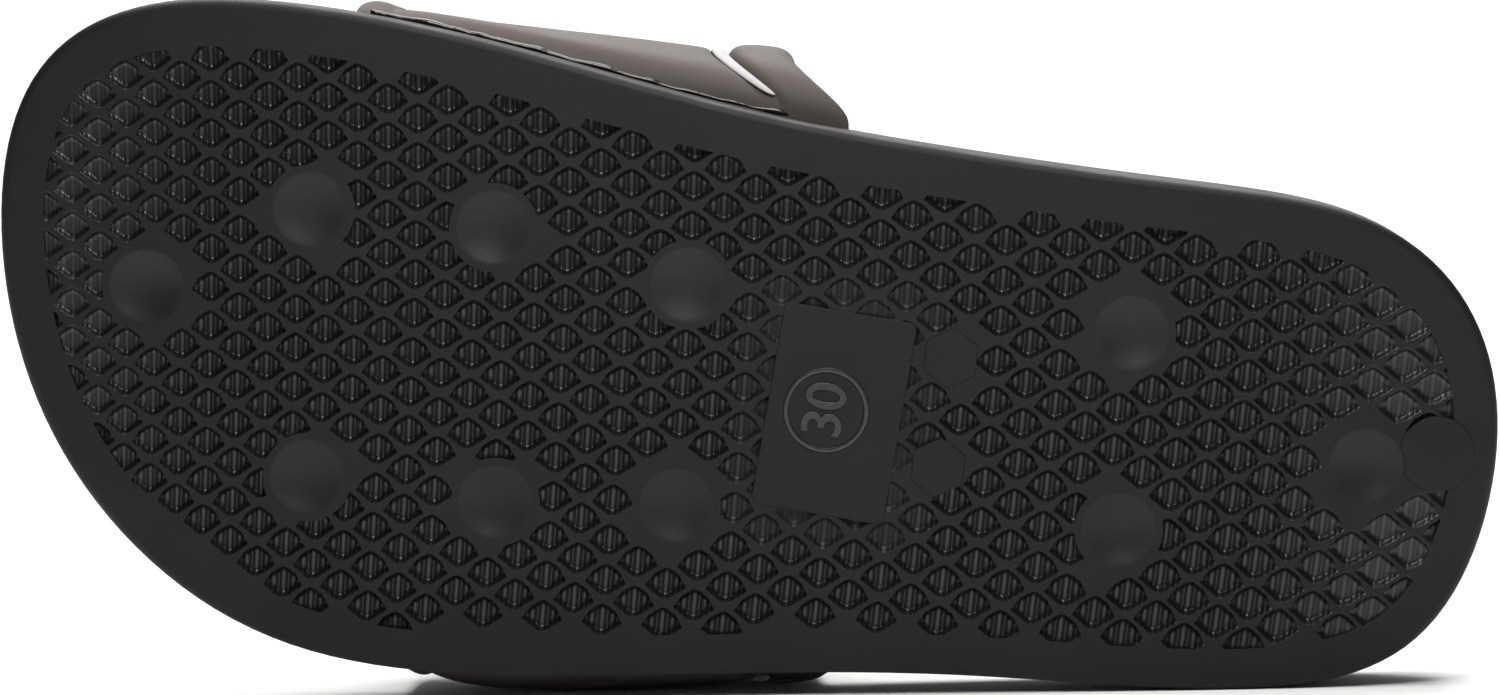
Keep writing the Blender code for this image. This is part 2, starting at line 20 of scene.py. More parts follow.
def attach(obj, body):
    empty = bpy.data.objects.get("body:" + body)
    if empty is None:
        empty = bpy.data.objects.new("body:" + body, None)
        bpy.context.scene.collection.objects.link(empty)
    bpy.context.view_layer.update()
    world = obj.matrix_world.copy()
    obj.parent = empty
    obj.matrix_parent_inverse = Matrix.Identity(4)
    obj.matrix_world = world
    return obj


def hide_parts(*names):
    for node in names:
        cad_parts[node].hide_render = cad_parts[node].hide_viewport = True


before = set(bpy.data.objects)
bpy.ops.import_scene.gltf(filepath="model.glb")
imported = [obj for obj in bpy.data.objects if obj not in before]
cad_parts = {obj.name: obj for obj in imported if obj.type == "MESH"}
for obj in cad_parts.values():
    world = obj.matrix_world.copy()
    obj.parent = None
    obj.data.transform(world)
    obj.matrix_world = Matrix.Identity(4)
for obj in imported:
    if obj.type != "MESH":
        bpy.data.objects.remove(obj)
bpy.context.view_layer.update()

MM = 0.001
WELD = 0.001 * MM
RECESS_MARK = "recess"
COLUMN_MARK = "column"
RIB_MARK = "rib"
LOG = logging.getLogger("slide_sandal")
Socket = bpy.types.NodeSocket
Value = Union[Socket, float]

# Where the shoe lies: its own axes and its toe end, in the frame of the CAD model
LAID = Matrix((
    (0.991578, -0.129513, 0.0, -0.102142),
    (0.004147, 0.031748, 0.999487, -0.027968),
    (-0.129447, -0.991069, 0.032018, 0.055809),
    (0.0, 0.0, 0.0, 1.0),
))


class EdgeRow(NamedTuple):
    """The sole's edge at one turn, as shares of half the ball width."""

    inner: float
    outer: float


class HeightRow(NamedTuple):
    """Heights at one place along the sole, as shares of the seat height."""

    along: float
    seam: float
    floor: float
    inner_rim: float
    outer_rim: float


class Place(NamedTuple):
    """A place on the tread: share of the length, and of half the ball width towards the inner side."""

    along: float
    inward: float


class BandRow(NamedTuple):
    """The band's two edges along the sole at one share of the arch over the foot."""

    over: float
    front: float
    rear: float


class ReachRow(NamedTuple):
    """How far the band's face stands out on the outer side, as a share of half the ball width."""

    along: float
    reach: float


class FootRow(NamedTuple):
    """How the band's lining leaves the joint: out to its widest place and up the lower wall."""

    out: float
    up: float


class BandEdge(Enum):
    """The band's edge that a line of its section is measured from."""

    FRONT = 0
    REAR = 1


class Cut(Enum):
    """What a cutter does to the piece that it meets."""

    AWAY = "DIFFERENCE"
    ONTO = "UNION"
    WITHIN = "INTERSECT"


EDGE = (
    EdgeRow(0.363, -0.363),
    EdgeRow(0.707, 0.083),
    EdgeRow(0.903, 0.505),
    EdgeRow(0.988, 0.824),
    EdgeRow(0.970, 0.983),
    EdgeRow(0.905, 0.980),
    EdgeRow(0.812, 0.902),
    EdgeRow(0.778, 0.837),
    EdgeRow(0.756, 0.799),
    EdgeRow(0.746, 0.766),
    EdgeRow(0.631, 0.655),
    EdgeRow(0.374, 0.402),
    EdgeRow(0.000, 0.000),
)
HEIGHTS = (
    HeightRow(0.00, 0.50, 0.86, 0.96, 0.96),
    HeightRow(0.18, 0.50, 0.74, 0.92, 0.92),
    HeightRow(0.35, 0.52, 0.76, 0.98, 0.96),
    HeightRow(0.50, 0.60, 0.88, 1.20, 1.08),
    HeightRow(0.70, 0.73, 1.00, 1.34, 1.26),
    HeightRow(0.86, 0.77, 0.98, 1.38, 1.38),
    HeightRow(1.00, 0.77, 1.12, 1.40, 1.40),
)
BAND_EDGES = (
    BandRow(0.00, 0.218, 0.551),
    BandRow(0.05, 0.222, 0.521),
    BandRow(0.16, 0.232, 0.511),
    BandRow(0.50, 0.270, 0.520),
    BandRow(0.84, 0.294, 0.572),
    BandRow(1.00, 0.289, 0.589),
)
OUTER_REACH = (
    ReachRow(0.284, 1.014),
    ReachRow(0.324, 1.055),
    ReachRow(0.363, 1.066),
    ReachRow(0.431, 1.025),
    ReachRow(0.495, 0.984),
    ReachRow(0.549, 0.930),
    ReachRow(0.590, 0.895),
)
OUTER_FOOT = (FootRow(0.20, 0.02), FootRow(0.80, 0.05), FootRow(1.00, 0.12))
INNER_FOOT = (FootRow(0.30, 0.03), FootRow(0.56, 0.13), FootRow(0.86, 0.55))
CUPS = (
    Place(0.103, 0.082),
    Place(0.205, 0.376),
    Place(0.326, 0.384),
    Place(0.457, 0.278),
    Place(0.222, -0.440),
    Place(0.347, -0.451),
    Place(0.466, -0.400),
    Place(0.750, 0.285),
    Place(0.757, -0.318),
    Place(0.914, -0.041),
)
HEEL_DISC = Place(0.960, 0.021)
SIZE_PLATE = Place(0.562, -0.062)
HEXES = (Place(0.634, 0.147), Place(0.634, -0.190))
LATTICE_MIDDLE = Place(0.3985, 0.137)


def through(places: Sequence[float], values: Sequence[float], at: np.ndarray) -> np.ndarray:
    """The smooth curve through a table's rows.

    Args:
        places: where the rows stand, rising.
        values: the rows' values.
        at: where the curve is read.

    Returns:
        The curve's values there.
    """
    places, values = np.asarray(places, float), np.asarray(values, float)
    slopes = np.gradient(values, places)
    at = np.clip(at, places[0], places[-1])
    row = np.clip(np.searchsorted(places, at) - 1, 0, len(places) - 2)
    span = places[row + 1] - places[row]
    s = (at - places[row]) / span
    start, end = 2 * s**3 - 3 * s**2 + 1, 3 * s**2 - 2 * s**3
    leave, arrive = s**3 - 2 * s**2 + s, s**3 - s**2
    held = start * values[row] + end * values[row + 1]
    return held + span * (leave * slopes[row] + arrive * slopes[row + 1])


def smooth(share: np.ndarray) -> np.ndarray:
    """An even ease from 0 to 1."""
    share = np.clip(share, 0, 1)
    return share * share * (3 - 2 * share)


@dataclass(frozen=True)
class Last:
    """The outline and the heights that every piece of the sole follows."""

    length: float = 204 * MM
    ball_width: float = 88 * MM
    seat_height: float = 15.5 * MM
    toe_spring: float = 2.4 * MM
    heel_spring: float = 2.3 * MM
    toe_flat_start: float = 0.22
    heel_flat_end: float = 0.74
    wave_count: int = 10

    @property
    def half_ball(self) -> float:
        """Half the width at the ball."""
        return self.ball_width / 2

    def side_at(self, turn: np.ndarray, slope: bool = False) -> np.ndarray:
        """The edge's distance to the outer side.

        Args:
            turn: 0 at the toe tip, pi at the heel tip, by the outer side.
            slope: reads how fast it changes with the turn.

        Returns:
            The distance, or its rate of change.
        """
        outer = [row.outer for row in EDGE]
        inner = [-row.inner for row in EDGE[-2:0:-1]]
        waves = np.fft.rfft(outer + inner)[: self.wave_count + 1] / (2 * len(EDGE) - 2)
        order = np.arange(len(waves))
        waves = waves * np.where(order > 0, 2, 1) * (1j * order if slope else 1)
        return self.half_ball * np.real(np.exp(1j * np.multiply.outer(turn, order)) @ waves)

    def edge_at(self, turn: np.ndarray, inset: float = 0.0) -> tuple[np.ndarray, np.ndarray]:
        """The outline at these turns.

        Args:
            turn: 0 at the toe tip, pi at the heel tip, by the outer side.
            inset: how far it is moved in along its normal.

        Returns:
            X and Y.
        """
        x, y = self.length / 2 * (1 - np.cos(turn)), self.side_at(turn)
        dx, dy = self.length / 2 * np.sin(turn), self.side_at(turn, slope=True)
        long = np.hypot(dx, dy)
        return x + inset * dy / long, y - inset * dx / long

    def sides_at(self, x: np.ndarray) -> tuple[np.ndarray, np.ndarray]:
        """The edge's Y on the inner and the outer side at a distance from the toe tip."""
        turn = np.arccos(np.clip(1 - 2 * x / self.length, -1, 1))
        return self.side_at(2 * math.pi - turn), self.side_at(turn)

    def height_at(self, column: str, x: np.ndarray) -> np.ndarray:
        """One of the table's heights at a distance from the toe tip.

        Args:
            column: the table's column.
            x: the distance.

        Returns:
            The height.
        """
        rows = [getattr(row, column) for row in HEIGHTS]
        share = np.asarray(x) / self.length
        return self.seat_height * through([row.along for row in HEIGHTS], rows, share)

    def tread_at(self, x: np.ndarray) -> np.ndarray:
        """The tread's height: flat between forefoot and heel, sprung up at both ends.

        Args:
            x: the distance from the toe tip.

        Returns:
            The height over the flat.
        """
        toe_flat, heel_flat = self.toe_flat_start * self.length, self.heel_flat_end * self.length
        toe = np.clip((toe_flat - x) / toe_flat, 0, None)
        heel = np.clip((x - heel_flat) / (self.length - heel_flat), 0, None)
        return self.toe_spring * toe**2 + self.heel_spring * heel**2

    def on_tread(self, place: Place) -> tuple[float, float]:
        """X and Y of a place on the tread."""
        return place.along * self.length, -place.inward * self.half_ball

    def ring(self, around: int, inset: float, share: float, height: Callable) -> np.ndarray:
        """A loop of points round the sole.

        Args:
            around: how many points it has.
            inset: how far it lies inside the sole's edge.
            share: how far it is then drawn in towards the middle line, 1 for not at all.
            height: gives the points' heights from their X and their turn.

        Returns:
            The points, one in each row.
        """
        turn = np.arange(around) * 2 * math.pi / around
        x, y = self.edge_at(turn, inset)
        middle_x = np.clip(x, self.half_ball, self.length - self.half_ball * 0.8)
        inner, outer = self.sides_at(middle_x)
        x = middle_x + share * (x - middle_x)
        y = (inner + outer) / 2 + share * (y - (inner + outer) / 2)
        return np.column_stack([x, y, height(x, turn)])


LAST = Last()


class Loft:
    """A closed skin drawn through loops of points, one loop after another."""

    def __init__(self, places: np.ndarray, pair_offset: int = 0) -> None:
        """Starts the skin with a closed end.

        Args:
            places: the first loop's points.
            pair_offset: an end is closed between point k and point -k - pair_offset of its loop.
        """
        self.shape = bmesh.new()
        self.pair_offset = pair_offset
        self.loop = bmesh.ops.create_circle(self.shape, segments=len(places), radius=1.0)["verts"]
        self._put(places)
        self.close()

    def _put(self, places: np.ndarray) -> None:
        """Moves the present loop to these points."""
        for vertex, place in zip(self.loop, places):
            vertex.co = place

    def _edges(self) -> list[bmesh.types.BMEdge]:
        """The present loop's own edges."""
        held = set(self.loop)
        edges = dict.fromkeys(edge for vertex in self.loop for edge in vertex.link_edges)
        return [edge for edge in edges if held.issuperset(edge.verts) and len(edge.link_faces) < 2]

    def draw_to(self, places: np.ndarray) -> None:
        """Draws the skin on to the next loop of points.

        Args:
            places: the loop's points.
        """
        made = bmesh.ops.extrude_edge_only(self.shape, edges=self._edges())["geom"]
        fresh = {piece for piece in made if isinstance(piece, bmesh.types.BMVert)}
        ahead = []
        for vertex in self.loop:
            ends = (edge.other_vert(vertex) for edge in vertex.link_edges)
            ahead.append(next(end for end in ends if end in fresh))
        self.loop = ahead
        self._put(places)

    def close(self) -> None:
        """Closes the present loop with strips across it."""
        bmesh.ops.contextual_create(self.shape, geom=self._edges())
        for k in range(1, (len(self.loop) - self.pair_offset + 1) // 2):
            pair = [self.loop[k], self.loop[-k - self.pair_offset]]
            bmesh.ops.connect_verts(self.shape, verts=pair)

    def finished(self) -> bmesh.types.BMesh:
        """The skin, closed at its last loop, with its faces turned outwards."""
        self.close()
        bmesh.ops.recalc_face_normals(self.shape, faces=self.shape.faces)
        return self.shape


def lofted(loops: Iterable[np.ndarray], pair_offset: int = 0) -> bmesh.types.BMesh:
    """A closed skin drawn through loops of points.

    Args:
        loops: the loops, in order.
        pair_offset: as Loft takes it.

    Returns:
        The skin.
    """
    waiting = iter(loops)
    loft = Loft(next(waiting), pair_offset)
    for loop in waiting:
        loft.draw_to(loop)
    return loft.finished()


def spun(profile: Sequence[tuple[float, float]], steps: int, closed: bool = False) -> bmesh.types.BMesh:
    """A profile turned once round the upright axis.

    Args:
        profile: its radius and its height, point by point.
        steps: how many sides the turn has.
        closed: joins the profile's last point to its first.

    Returns:
        The turned solid.
    """
    shape = bmesh.new()
    points = [shape.verts.new((radius, 0, height)) for radius, height in profile]
    ahead = points[1:] + points[:1] if closed else points[1:]
    edges = [shape.edges.new(pair) for pair in zip(points, ahead)]
    bmesh.ops.spin(
        shape, geom=points + edges, axis=(0, 0, 1), angle=2 * math.pi, steps=steps, use_merge=True
    )
    bmesh.ops.remove_doubles(shape, verts=shape.verts, dist=WELD)
    return shape


def helper_object(shape: bmesh.types.BMesh, name: str) -> bpy.types.Object:
    """A bmesh as an object in the scene.

    Args:
        shape: the bmesh, which is used up.
        name: the object's name.

    Returns:
        The object.
    """
    mesh = bpy.data.meshes.new(name)
    shape.to_mesh(mesh)
    shape.free()
    thing = bpy.data.objects.new(name, mesh)
    bpy.context.scene.collection.objects.link(thing)
    return thing


def combine(thing: bpy.types.Object, tool: bpy.types.Object, cut: Cut) -> None:
    """Adds one Boolean step to a piece.

    Args:
        thing: the piece.
        tool: what cuts it or joins it.
        cut: what the tool does to it.
    """
    step = thing.modifiers.new(tool.name, "BOOLEAN")
    step.operation = cut.value
    step.solver = "MANIFOLD"
    step.object = tool


def settle(thing: bpy.types.Object, tools: Sequence[bpy.types.Object] = ()) -> None:
    """Applies a piece's modifiers and removes the tools that they used.

    Args:
        thing: the piece.
        tools: the objects to remove.
    """
    graph = bpy.context.evaluated_depsgraph_get()
    mesh = bpy.data.meshes.new_from_object(thing.evaluated_get(graph))
    thing.modifiers.clear()
    thing.data = mesh
    mesh.name = thing.name
    for tool in tools:
        bpy.data.objects.remove(tool)


def round_off(thing: bpy.types.Object, levels: int) -> None:
    """Rounds a piece by subdivision, and applies it.

    Args:
        thing: the piece.
        levels: how often it is subdivided.
    """
    rounding = thing.modifiers.new("rounding", "SUBSURF")
    rounding.levels = rounding.render_levels = levels
    settle(thing)


def lay_down(
    thing: bpy.types.Object,
    material: bpy.types.Material,
    node: Optional[str] = None,
    sharp_degrees: float = 40.0,
) -> bpy.types.Object:
    """Lays a finished piece down with the shoe, dresses it and puts it on the body.

    Args:
        thing: the piece, modelled as the shoe stands.
        material: its finish.
        node: the CAD node that it stands for.
        sharp_degrees: edges sharper than this stay hard.

    Returns:
        The piece.
    """
    thing.data.transform(LAID)
    thing.data.shade_smooth()
    thing.data.set_sharp_from_angle(angle=math.radians(sharp_degrees))
    thing.data.materials.clear()
    thing.data.materials.append(material)
    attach(thing, "root")
    if node:
        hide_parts(node)
    return thing


# Finishes

class Bench:
    """A material's node tree with its shader, and short ways to add to it."""

    def __init__(self, name: str) -> None:
        """Starts a material whose patterns follow the object's own coordinates.

        Args:
            name: the material's name.
        """
        self.material = bpy.data.materials.new(name)
        self.material.use_nodes = True
        self.tree = self.material.node_tree
        self.shader = self.tree.nodes["Principled BSDF"]
        self.where = self.tree.nodes.new("ShaderNodeTexCoord").outputs["Object"]

    def noise(self, scale: float, detail: float = 2.0, roughness: float = 0.5) -> Socket:
        """A cloudy pattern.

        Args:
            scale: how many clouds there are to the metre.
            detail: how many finer layers lie on them.
            roughness: how strong the finer layers are.

        Returns:
            The pattern, from 0 to 1.
        """
        node = self.tree.nodes.new("ShaderNodeTexNoise")
        node.inputs["Scale"].default_value = scale
        node.inputs["Detail"].default_value = detail
        node.inputs["Roughness"].default_value = roughness
        self.tree.links.new(self.where, node.inputs["Vector"])
        return node.outputs["Fac"]

    def cells(self, scale: float, feature: str = "F1") -> Socket:
        """A pattern of cells.

        Args:
            scale: how many cells there are to the metre.
            feature: which of Blender's cell patterns it is.

        Returns:
            The distance from the cells' middles.
        """
        node = self.tree.nodes.new("ShaderNodeTexVoronoi")
        node.feature = feature
        node.inputs["Scale"].default_value = scale
        self.tree.links.new(self.where, node.inputs["Vector"])
        return node.outputs["Distance"]

    def spread(self, value: Socket, low: float, high: float, to_low: float, to_high: float) -> Socket:
        """Maps a pattern from one range to another.

        Args:
            value: the pattern.
            low: where its own range starts.
            high: where its own range ends.
            to_low: what the start becomes.
            to_high: what the end becomes.

        Returns:
            The mapped pattern.
        """
        node = self.tree.nodes.new("ShaderNodeMapRange")
        for name, number in (("From Min", low), ("From Max", high), ("To Min", to_low), ("To Max", to_high)):
            node.inputs[name].default_value = number
        self.tree.links.new(value, node.inputs["Value"])
        return node.outputs["Result"]

    def mark(self, name: str) -> Socket:
        """A number that the mesh itself holds for each face or point.

        Args:
            name: what the mesh calls it.

        Returns:
            The number.
        """
        node = self.tree.nodes.new("ShaderNodeAttribute")
        node.attribute_name = name
        return node.outputs["Fac"]

    def math(self, operation: str, first: Socket, second: Value) -> Socket:
        """Two values worked out together.

        Args:
            operation: Blender's name for what is done with them.
            first: a pattern.
            second: a pattern or a plain number.

        Returns:
            The outcome.
        """
        node = self.tree.nodes.new("ShaderNodeMath")
        node.operation = operation
        self.tree.links.new(first, node.inputs[0])
        if isinstance(second, Socket):
            self.tree.links.new(second, node.inputs[1])
        else:
            node.inputs[1].default_value = second
        return node.outputs["Value"]

    def product(self, first: Socket, second: Value) -> Socket:
        """Two values multiplied."""
        return self.math("MULTIPLY", first, second)

    def crests(self, value: Socket, count: int, narrowness: float) -> Socket:
        """Crests that rise from 0 to 1.

        Args:
            value: the pattern that they follow.
            count: how many there are to one unit of it.
            narrowness: how narrow they are beside the valleys, 1 for even waves.

        Returns:
            The crests.
        """
        turn = self.product(value, 2 * math.pi * count)
        wave = self.math("COSINE", turn, 0.0)
        even = self.spread(wave, -1.0, 1.0, 0.0, 1.0)
        return self.math("POWER", even, narrowness)

    def mixed(self, share: Socket, start: Socket, end: float) -> Socket:
        """A value between a pattern and a number.

        Args:
            share: the pattern that says how far it is towards the number.
            start: the pattern.
            end: the number.

        Returns:
            The value.
        """
        node = self.tree.nodes.new("ShaderNodeMix")
        self.tree.links.new(share, node.inputs[0])
        self.tree.links.new(start, node.inputs[2])
        node.inputs[3].default_value = end
        return node.outputs[0]

    def tint(self, value: Socket, dark: tuple, light: tuple) -> Socket:
        """A colour between two.

        Args:
            value: the pattern that says how far it is towards the light one.
            dark: the colour at 0.
            light: the colour at 1.

        Returns:
            The colour.
        """
        node = self.tree.nodes.new("ShaderNodeMix")
        node.data_type = "RGBA"
        node.inputs[6].default_value = (*dark, 1)
        node.inputs[7].default_value = (*light, 1)
        self.tree.links.new(value, node.inputs[0])
        return node.outputs[2]

    def relief(self, height: Socket, depth: float, under: Optional[Socket] = None) -> Socket:
        """Bump of a real depth.

        Args:
            height: the pattern of its heights.
            depth: how deep it is from 0 to 1, in metres.
            under: other bump that it is laid over.

        Returns:
            The surface's direction.
        """
        node = self.tree.nodes.new("ShaderNodeBump")
        node.inputs["Strength"].default_value = 1.0
        node.inputs["Distance"].default_value = depth
        self.tree.links.new(height, node.inputs["Height"])
        if under:
            self.tree.links.new(under, node.inputs["Normal"])
        return node.outputs["Normal"]

    def set(self, socket: str, value: Union[Socket, float, tuple]) -> None:
        """Sets one of the shader's sockets, or links a pattern to it.

        Args:
            socket: the socket's name.
            value: a plain value or a pattern.
        """
        if isinstance(value, Socket):
            self.tree.links.new(value, self.shader.inputs[socket])
        else:
            self.shader.inputs[socket].default_value = value


@dataclass(frozen=True)
class MouldedFoam:
    """Black moulded foam plastic: close-grained and dull, and glossier down in its ribbed recesses, where
    the rib valleys get a low specular level as painted shade.
    """

    name: str
    dark: tuple = (0.0058, 0.0056, 0.0056)
    light: tuple = (0.0090, 0.0086, 0.0084)
    smudge_scale: float = 38.0
    wear_scale: float = 120.0
    rough_low: float = 0.48
    rough_high: float = 0.60
    recess_rough: float = 0.0
    # Specular level in the rib valleys, set low as painted shade there.
    shaded_valley_specular: float = 0.05
    rib_specular: float = 0.60
    rib_height: float = 0.08 * MM
    rib_count: int = 3
    rib_narrowness: float = 4.0
    fine_share: float = 0.55
    grain_scale: float = 2400.0
    grain_depth: float = 0.030 * MM
    pebble_scale: float = 0.0
    pebble_depth: float = 0.0
    specular: float = 0.22

    def ribs(self, bench: Bench) -> Socket:
        """The ribs across the recesses, 1 on their crests: a few strong ones and fine ones between.

        Args:
            bench: the material's bench.

        Returns:
            The ribs, whose valleys fill in where the mesh's rib mark falls to 0.
        """
        column = bench.mark(COLUMN_MARK)
        fine = bench.crests(column, 2 * self.rib_count, self.rib_narrowness)
        strong = bench.crests(column, self.rib_count, self.rib_narrowness)
        ribs = bench.math("MAXIMUM", strong, bench.product(fine, self.fine_share))
        valleys = bench.product(bench.mark(RIB_MARK), bench.spread(ribs, 0.0, 1.0, 1.0, 0.0))
        return bench.spread(valleys, 0.0, 1.0, 1.0, 0.0)

    def material(self) -> bpy.types.Material:
        """Builds the material."""
        bench = Bench(self.name)
        smudge = bench.noise(self.smudge_scale, detail=4.0, roughness=0.6)
        bench.set("Base Color", bench.tint(smudge, self.dark, self.light))
        wear = bench.noise(self.wear_scale, detail=3.0)
        roughness = bench.spread(wear, 0.3, 0.7, self.rough_low, self.rough_high)
        relief = bench.relief(bench.noise(self.grain_scale, detail=3.0), self.grain_depth)
        bench.set("Specular IOR Level", self.specular)
        if self.recess_rough:
            sunk = bench.mark(RECESS_MARK)
            roughness = bench.mixed(sunk, roughness, self.recess_rough)
            ribs = self.ribs(bench)
            # Specular level falls in the rib valleys as painted shade and rises on the rib crests.
            less, more = self.shaded_valley_specular - self.specular, self.rib_specular - self.specular
            gloss = bench.product(sunk, bench.spread(ribs, 0.0, 1.0, less, more))
            bench.set("Specular IOR Level", bench.math("ADD", gloss, self.specular))
            relief = bench.relief(bench.product(sunk, ribs), self.rib_height, under=relief)
        bench.set("Roughness", roughness)
        if self.pebble_depth:
            relief = bench.relief(bench.cells(self.pebble_scale), self.pebble_depth, under=relief)
        bench.set("Normal", relief)
        return bench.material


@dataclass(frozen=True)
class CoatedLeather:
    """Dark coated synthetic leather over padding: fine creased grain and a low, warm sheen."""

    name: str
    dark: tuple = (0.058, 0.050, 0.046)
    light: tuple = (0.078, 0.067, 0.062)
    sheen: tuple = (1.0, 0.93, 0.89)
    cloud_scale: float = 55.0
    rough_low: float = 0.58
    rough_high: float = 0.66
    grain_scale: float = 1500.0
    grain_depth: float = 0.018 * MM
    crease_scale: float = 160.0
    crease_depth: float = 0.05 * MM
    specular: float = 0.24

    def material(self) -> bpy.types.Material:
        """Builds the material."""
        bench = Bench(self.name)
        cloud = bench.noise(self.cloud_scale, detail=3.0)
        bench.set("Base Color", bench.tint(cloud, self.dark, self.light))
        bench.set("Roughness", bench.spread(cloud, 0.3, 0.7, self.rough_low, self.rough_high))
        bench.set("Specular Tint", (*self.sheen, 1.0))
        bench.set("Specular IOR Level", self.specular)
        relief = bench.relief(bench.cells(self.grain_scale, "SMOOTH_F1"), self.grain_depth)
        relief = bench.relief(bench.noise(self.crease_scale, detail=2.0), self.crease_depth, under=relief)
        bench.set("Normal", relief)
        return bench.material


@dataclass(frozen=True)
class WhiteStrip:
    """White soft plastic, a little soiled."""

    name: str
    clean: tuple = (0.40, 0.40, 0.405)
    soiled: tuple = (0.33, 0.325, 0.32)
    dirt_scale: float = 320.0
    grain_scale: float = 1800.0
    grain_depth: float = 0.01 * MM
    roughness: float = 0.75
    specular: float = 0.08

    def material(self) -> bpy.types.Material:
        """Builds the material."""
        bench = Bench(self.name)
        dirt = bench.spread(bench.noise(self.dirt_scale, detail=4.0), 0.52, 0.75, 0.0, 1.0)
        bench.set("Base Color", bench.tint(dirt, self.clean, self.soiled))
        bench.set("Roughness", bench.spread(dirt, 0.0, 1.0, self.roughness, self.roughness + 0.2))
        bench.set("Specular IOR Level", self.specular)
        bench.set("Normal", bench.relief(bench.noise(self.grain_scale), self.grain_depth))
        return bench.material


@dataclass(frozen=True)
class PaperWhite:
    """The pale ground that the shoe lies on."""

    name: str
    shade: float = 0.90

    def material(self) -> bpy.types.Material:
        """Builds the material."""
        bench = Bench(self.name)
        cloud = bench.noise(3.0)
        light = (self.shade, self.shade, self.shade)
        bench.set("Base Color", bench.tint(cloud, tuple(0.99 * part for part in light), light))
        bench.set("Roughness", 0.9)
        bench.set("Specular IOR Level", 0.1)
        return bench.material


# Outsole

@dataclass
class Lattice:
    """The mould's lattice of ridges, which widens a little from the toe to the heel.

    Diamonds are counted in columns towards the heel and rows towards the outer side, and a diamond
    stands wherever the two counts add up to an even number. All steps are half a diamond.
    """

    column_step: float = 4.089 * MM
    column_growth: float = 0.00794 * MM
    column_easing: float = -0.00017 * MM
    column_lean: float = 0.155 * MM
    lean_change: float = -0.00537 * MM
    column_bow: float = -0.0039 * MM
    row_step: float = 2.650 * MM
    row_growth: float = 0.00482 * MM
    row_fall: float = -0.2849 * MM
    row_bow: float = 0.00164 * MM
    row_spread: float = 0.00217 * MM
    columns: range = range(-21, 31)
    rows: range = range(-18, 20)
    tries: int = 12

    def at(self, column: np.ndarray, row: np.ndarray) -> tuple[np.ndarray, np.ndarray]:
        """Where the lattice's counts stand on the tread.

        Args:
            column: the count towards the heel, which may be a fraction.
            row: the count towards the outer side, which may be a fraction.

        Returns:
            X and Y.
        """
        first_x, first_y = LAST.on_tread(LATTICE_MIDDLE)
        stretch = self.column_step + self.column_growth * column + self.column_easing * column**2
        lean = self.column_lean + self.lean_change * column
        x = first_x + stretch * column + lean * row + self.column_bow * row**2
        spacing = self.row_step + self.row_growth * column + self.row_spread * row
        y = first_y + spacing * row + (self.row_fall + self.row_bow * column) * column
        return x, y

    def column_at(self, x: np.ndarray, y: np.ndarray) -> np.ndarray:
        """The column's count at X and Y on the tread, found in a few tries that near it.

        Args:
            x: distances from the toe tip.
            y: distances to the outer side.

        Returns:
            The counts, with fractions.
        """
        column, row = np.zeros_like(x), np.zeros_like(y)
        for _ in range(self.tries):
            near_x, near_y = self.at(column, row)
            column = column + (x - near_x) / self.column_step
            row = row + (y - near_y) / self.row_step
        return column

    def diamonds(self, reaches: Callable) -> np.ndarray:
        """The diamonds that the test keeps.

        Args:
            reaches: tells for X and Y whether a diamond there reaches inside the tread's rim.

        Returns:
            Their counts, one diamond in each row.
        """
        kept = []
        for column in self.columns:
            for row in self.rows:
                if (column + row) % 2 == 0 and reaches(*self.at(column, row)):
                    kept.append((column, row))
        return np.array(kept, float)


class LevelRow(NamedTuple):
    """One level of a recess: how far its mouth is grown there, and how deep it lies."""

    grow: float
    lift: float
    share: float


@dataclass
class Recess:
    """One diamond recess, as shares of a diamond's half length and half width, and of its depth."""

    ridge: float = 0.165
    flare: float = 0.055
    draft: float = 0.12
    floor_round: float = 0.26
    floor_end: float = 0.40
    facet_start: float = 0.51
    facet_depth: float = 0.62
    apex: float = 0.075
    corner: float = 0.80
    corner_open: float = 0.14
    corner_depth: float = 0.22
    end_grow: float = 0.45
    side_grow: float = 0.9
    thinnest: float = 0.012

    def half_section(self) -> list[tuple[float, float, float]]:
        """Places from the middle to one end: along, how far the recess is open there, how deep."""
        half_floor = self.floor_end / 2
        return [
            (0.0, 1.0 - self.apex, 1.0),
            (half_floor, 1.0 - half_floor, 1.0),
            (self.floor_end, 1.0 - self.floor_end, 1.0),
            (self.facet_start, 1.0 - self.facet_start, self.facet_depth),
            (self.corner, self.corner_open, self.corner_depth),
        ]

    def plug(self) -> bpy.types.Mesh:
        """The solid that cuts it: X and Y as shares of the half diamond, Z as a share of the depth."""
        half = self.half_section()
        rows = [(-along, open_share, deep) for along, open_share, deep in half[:0:-1]] + half
        mouth = 1.0 - self.ridge

        def loop(level: LevelRow) -> np.ndarray:
            """The mouth, grown or shrunk all round, at one level."""
            upper = []
            for along, open_share, depth in rows:
                ends = math.copysign(self.end_grow * level.grow, along) if abs(along) == self.corner else 0.0
                across = max(open_share * mouth + self.side_grow * level.grow, self.thinnest)
                upper.append((along * mouth + ends, across, level.lift + level.share * depth))
            lower = [(along, -across, down) for along, across, down in upper[-2:0:-1]]
            return np.array(upper + lower)

        levels = (
            LevelRow(self.flare * 1.3, -0.5, 0.0),
            LevelRow(self.flare, -0.02, 0.0),
            LevelRow(0.0, 0.12, 0.0),
            LevelRow(-self.draft, 0.0, 0.72),
            LevelRow(-self.draft - self.floor_round * 0.4, 0.0, 0.92),
            LevelRow(-self.draft - self.floor_round, 0.0, 1.0),
        )
        mesh = bpy.data.meshes.new("recess")
        shape = lofted(loop(level) for level in levels)
        shape.to_mesh(mesh)
        shape.free()
        return mesh


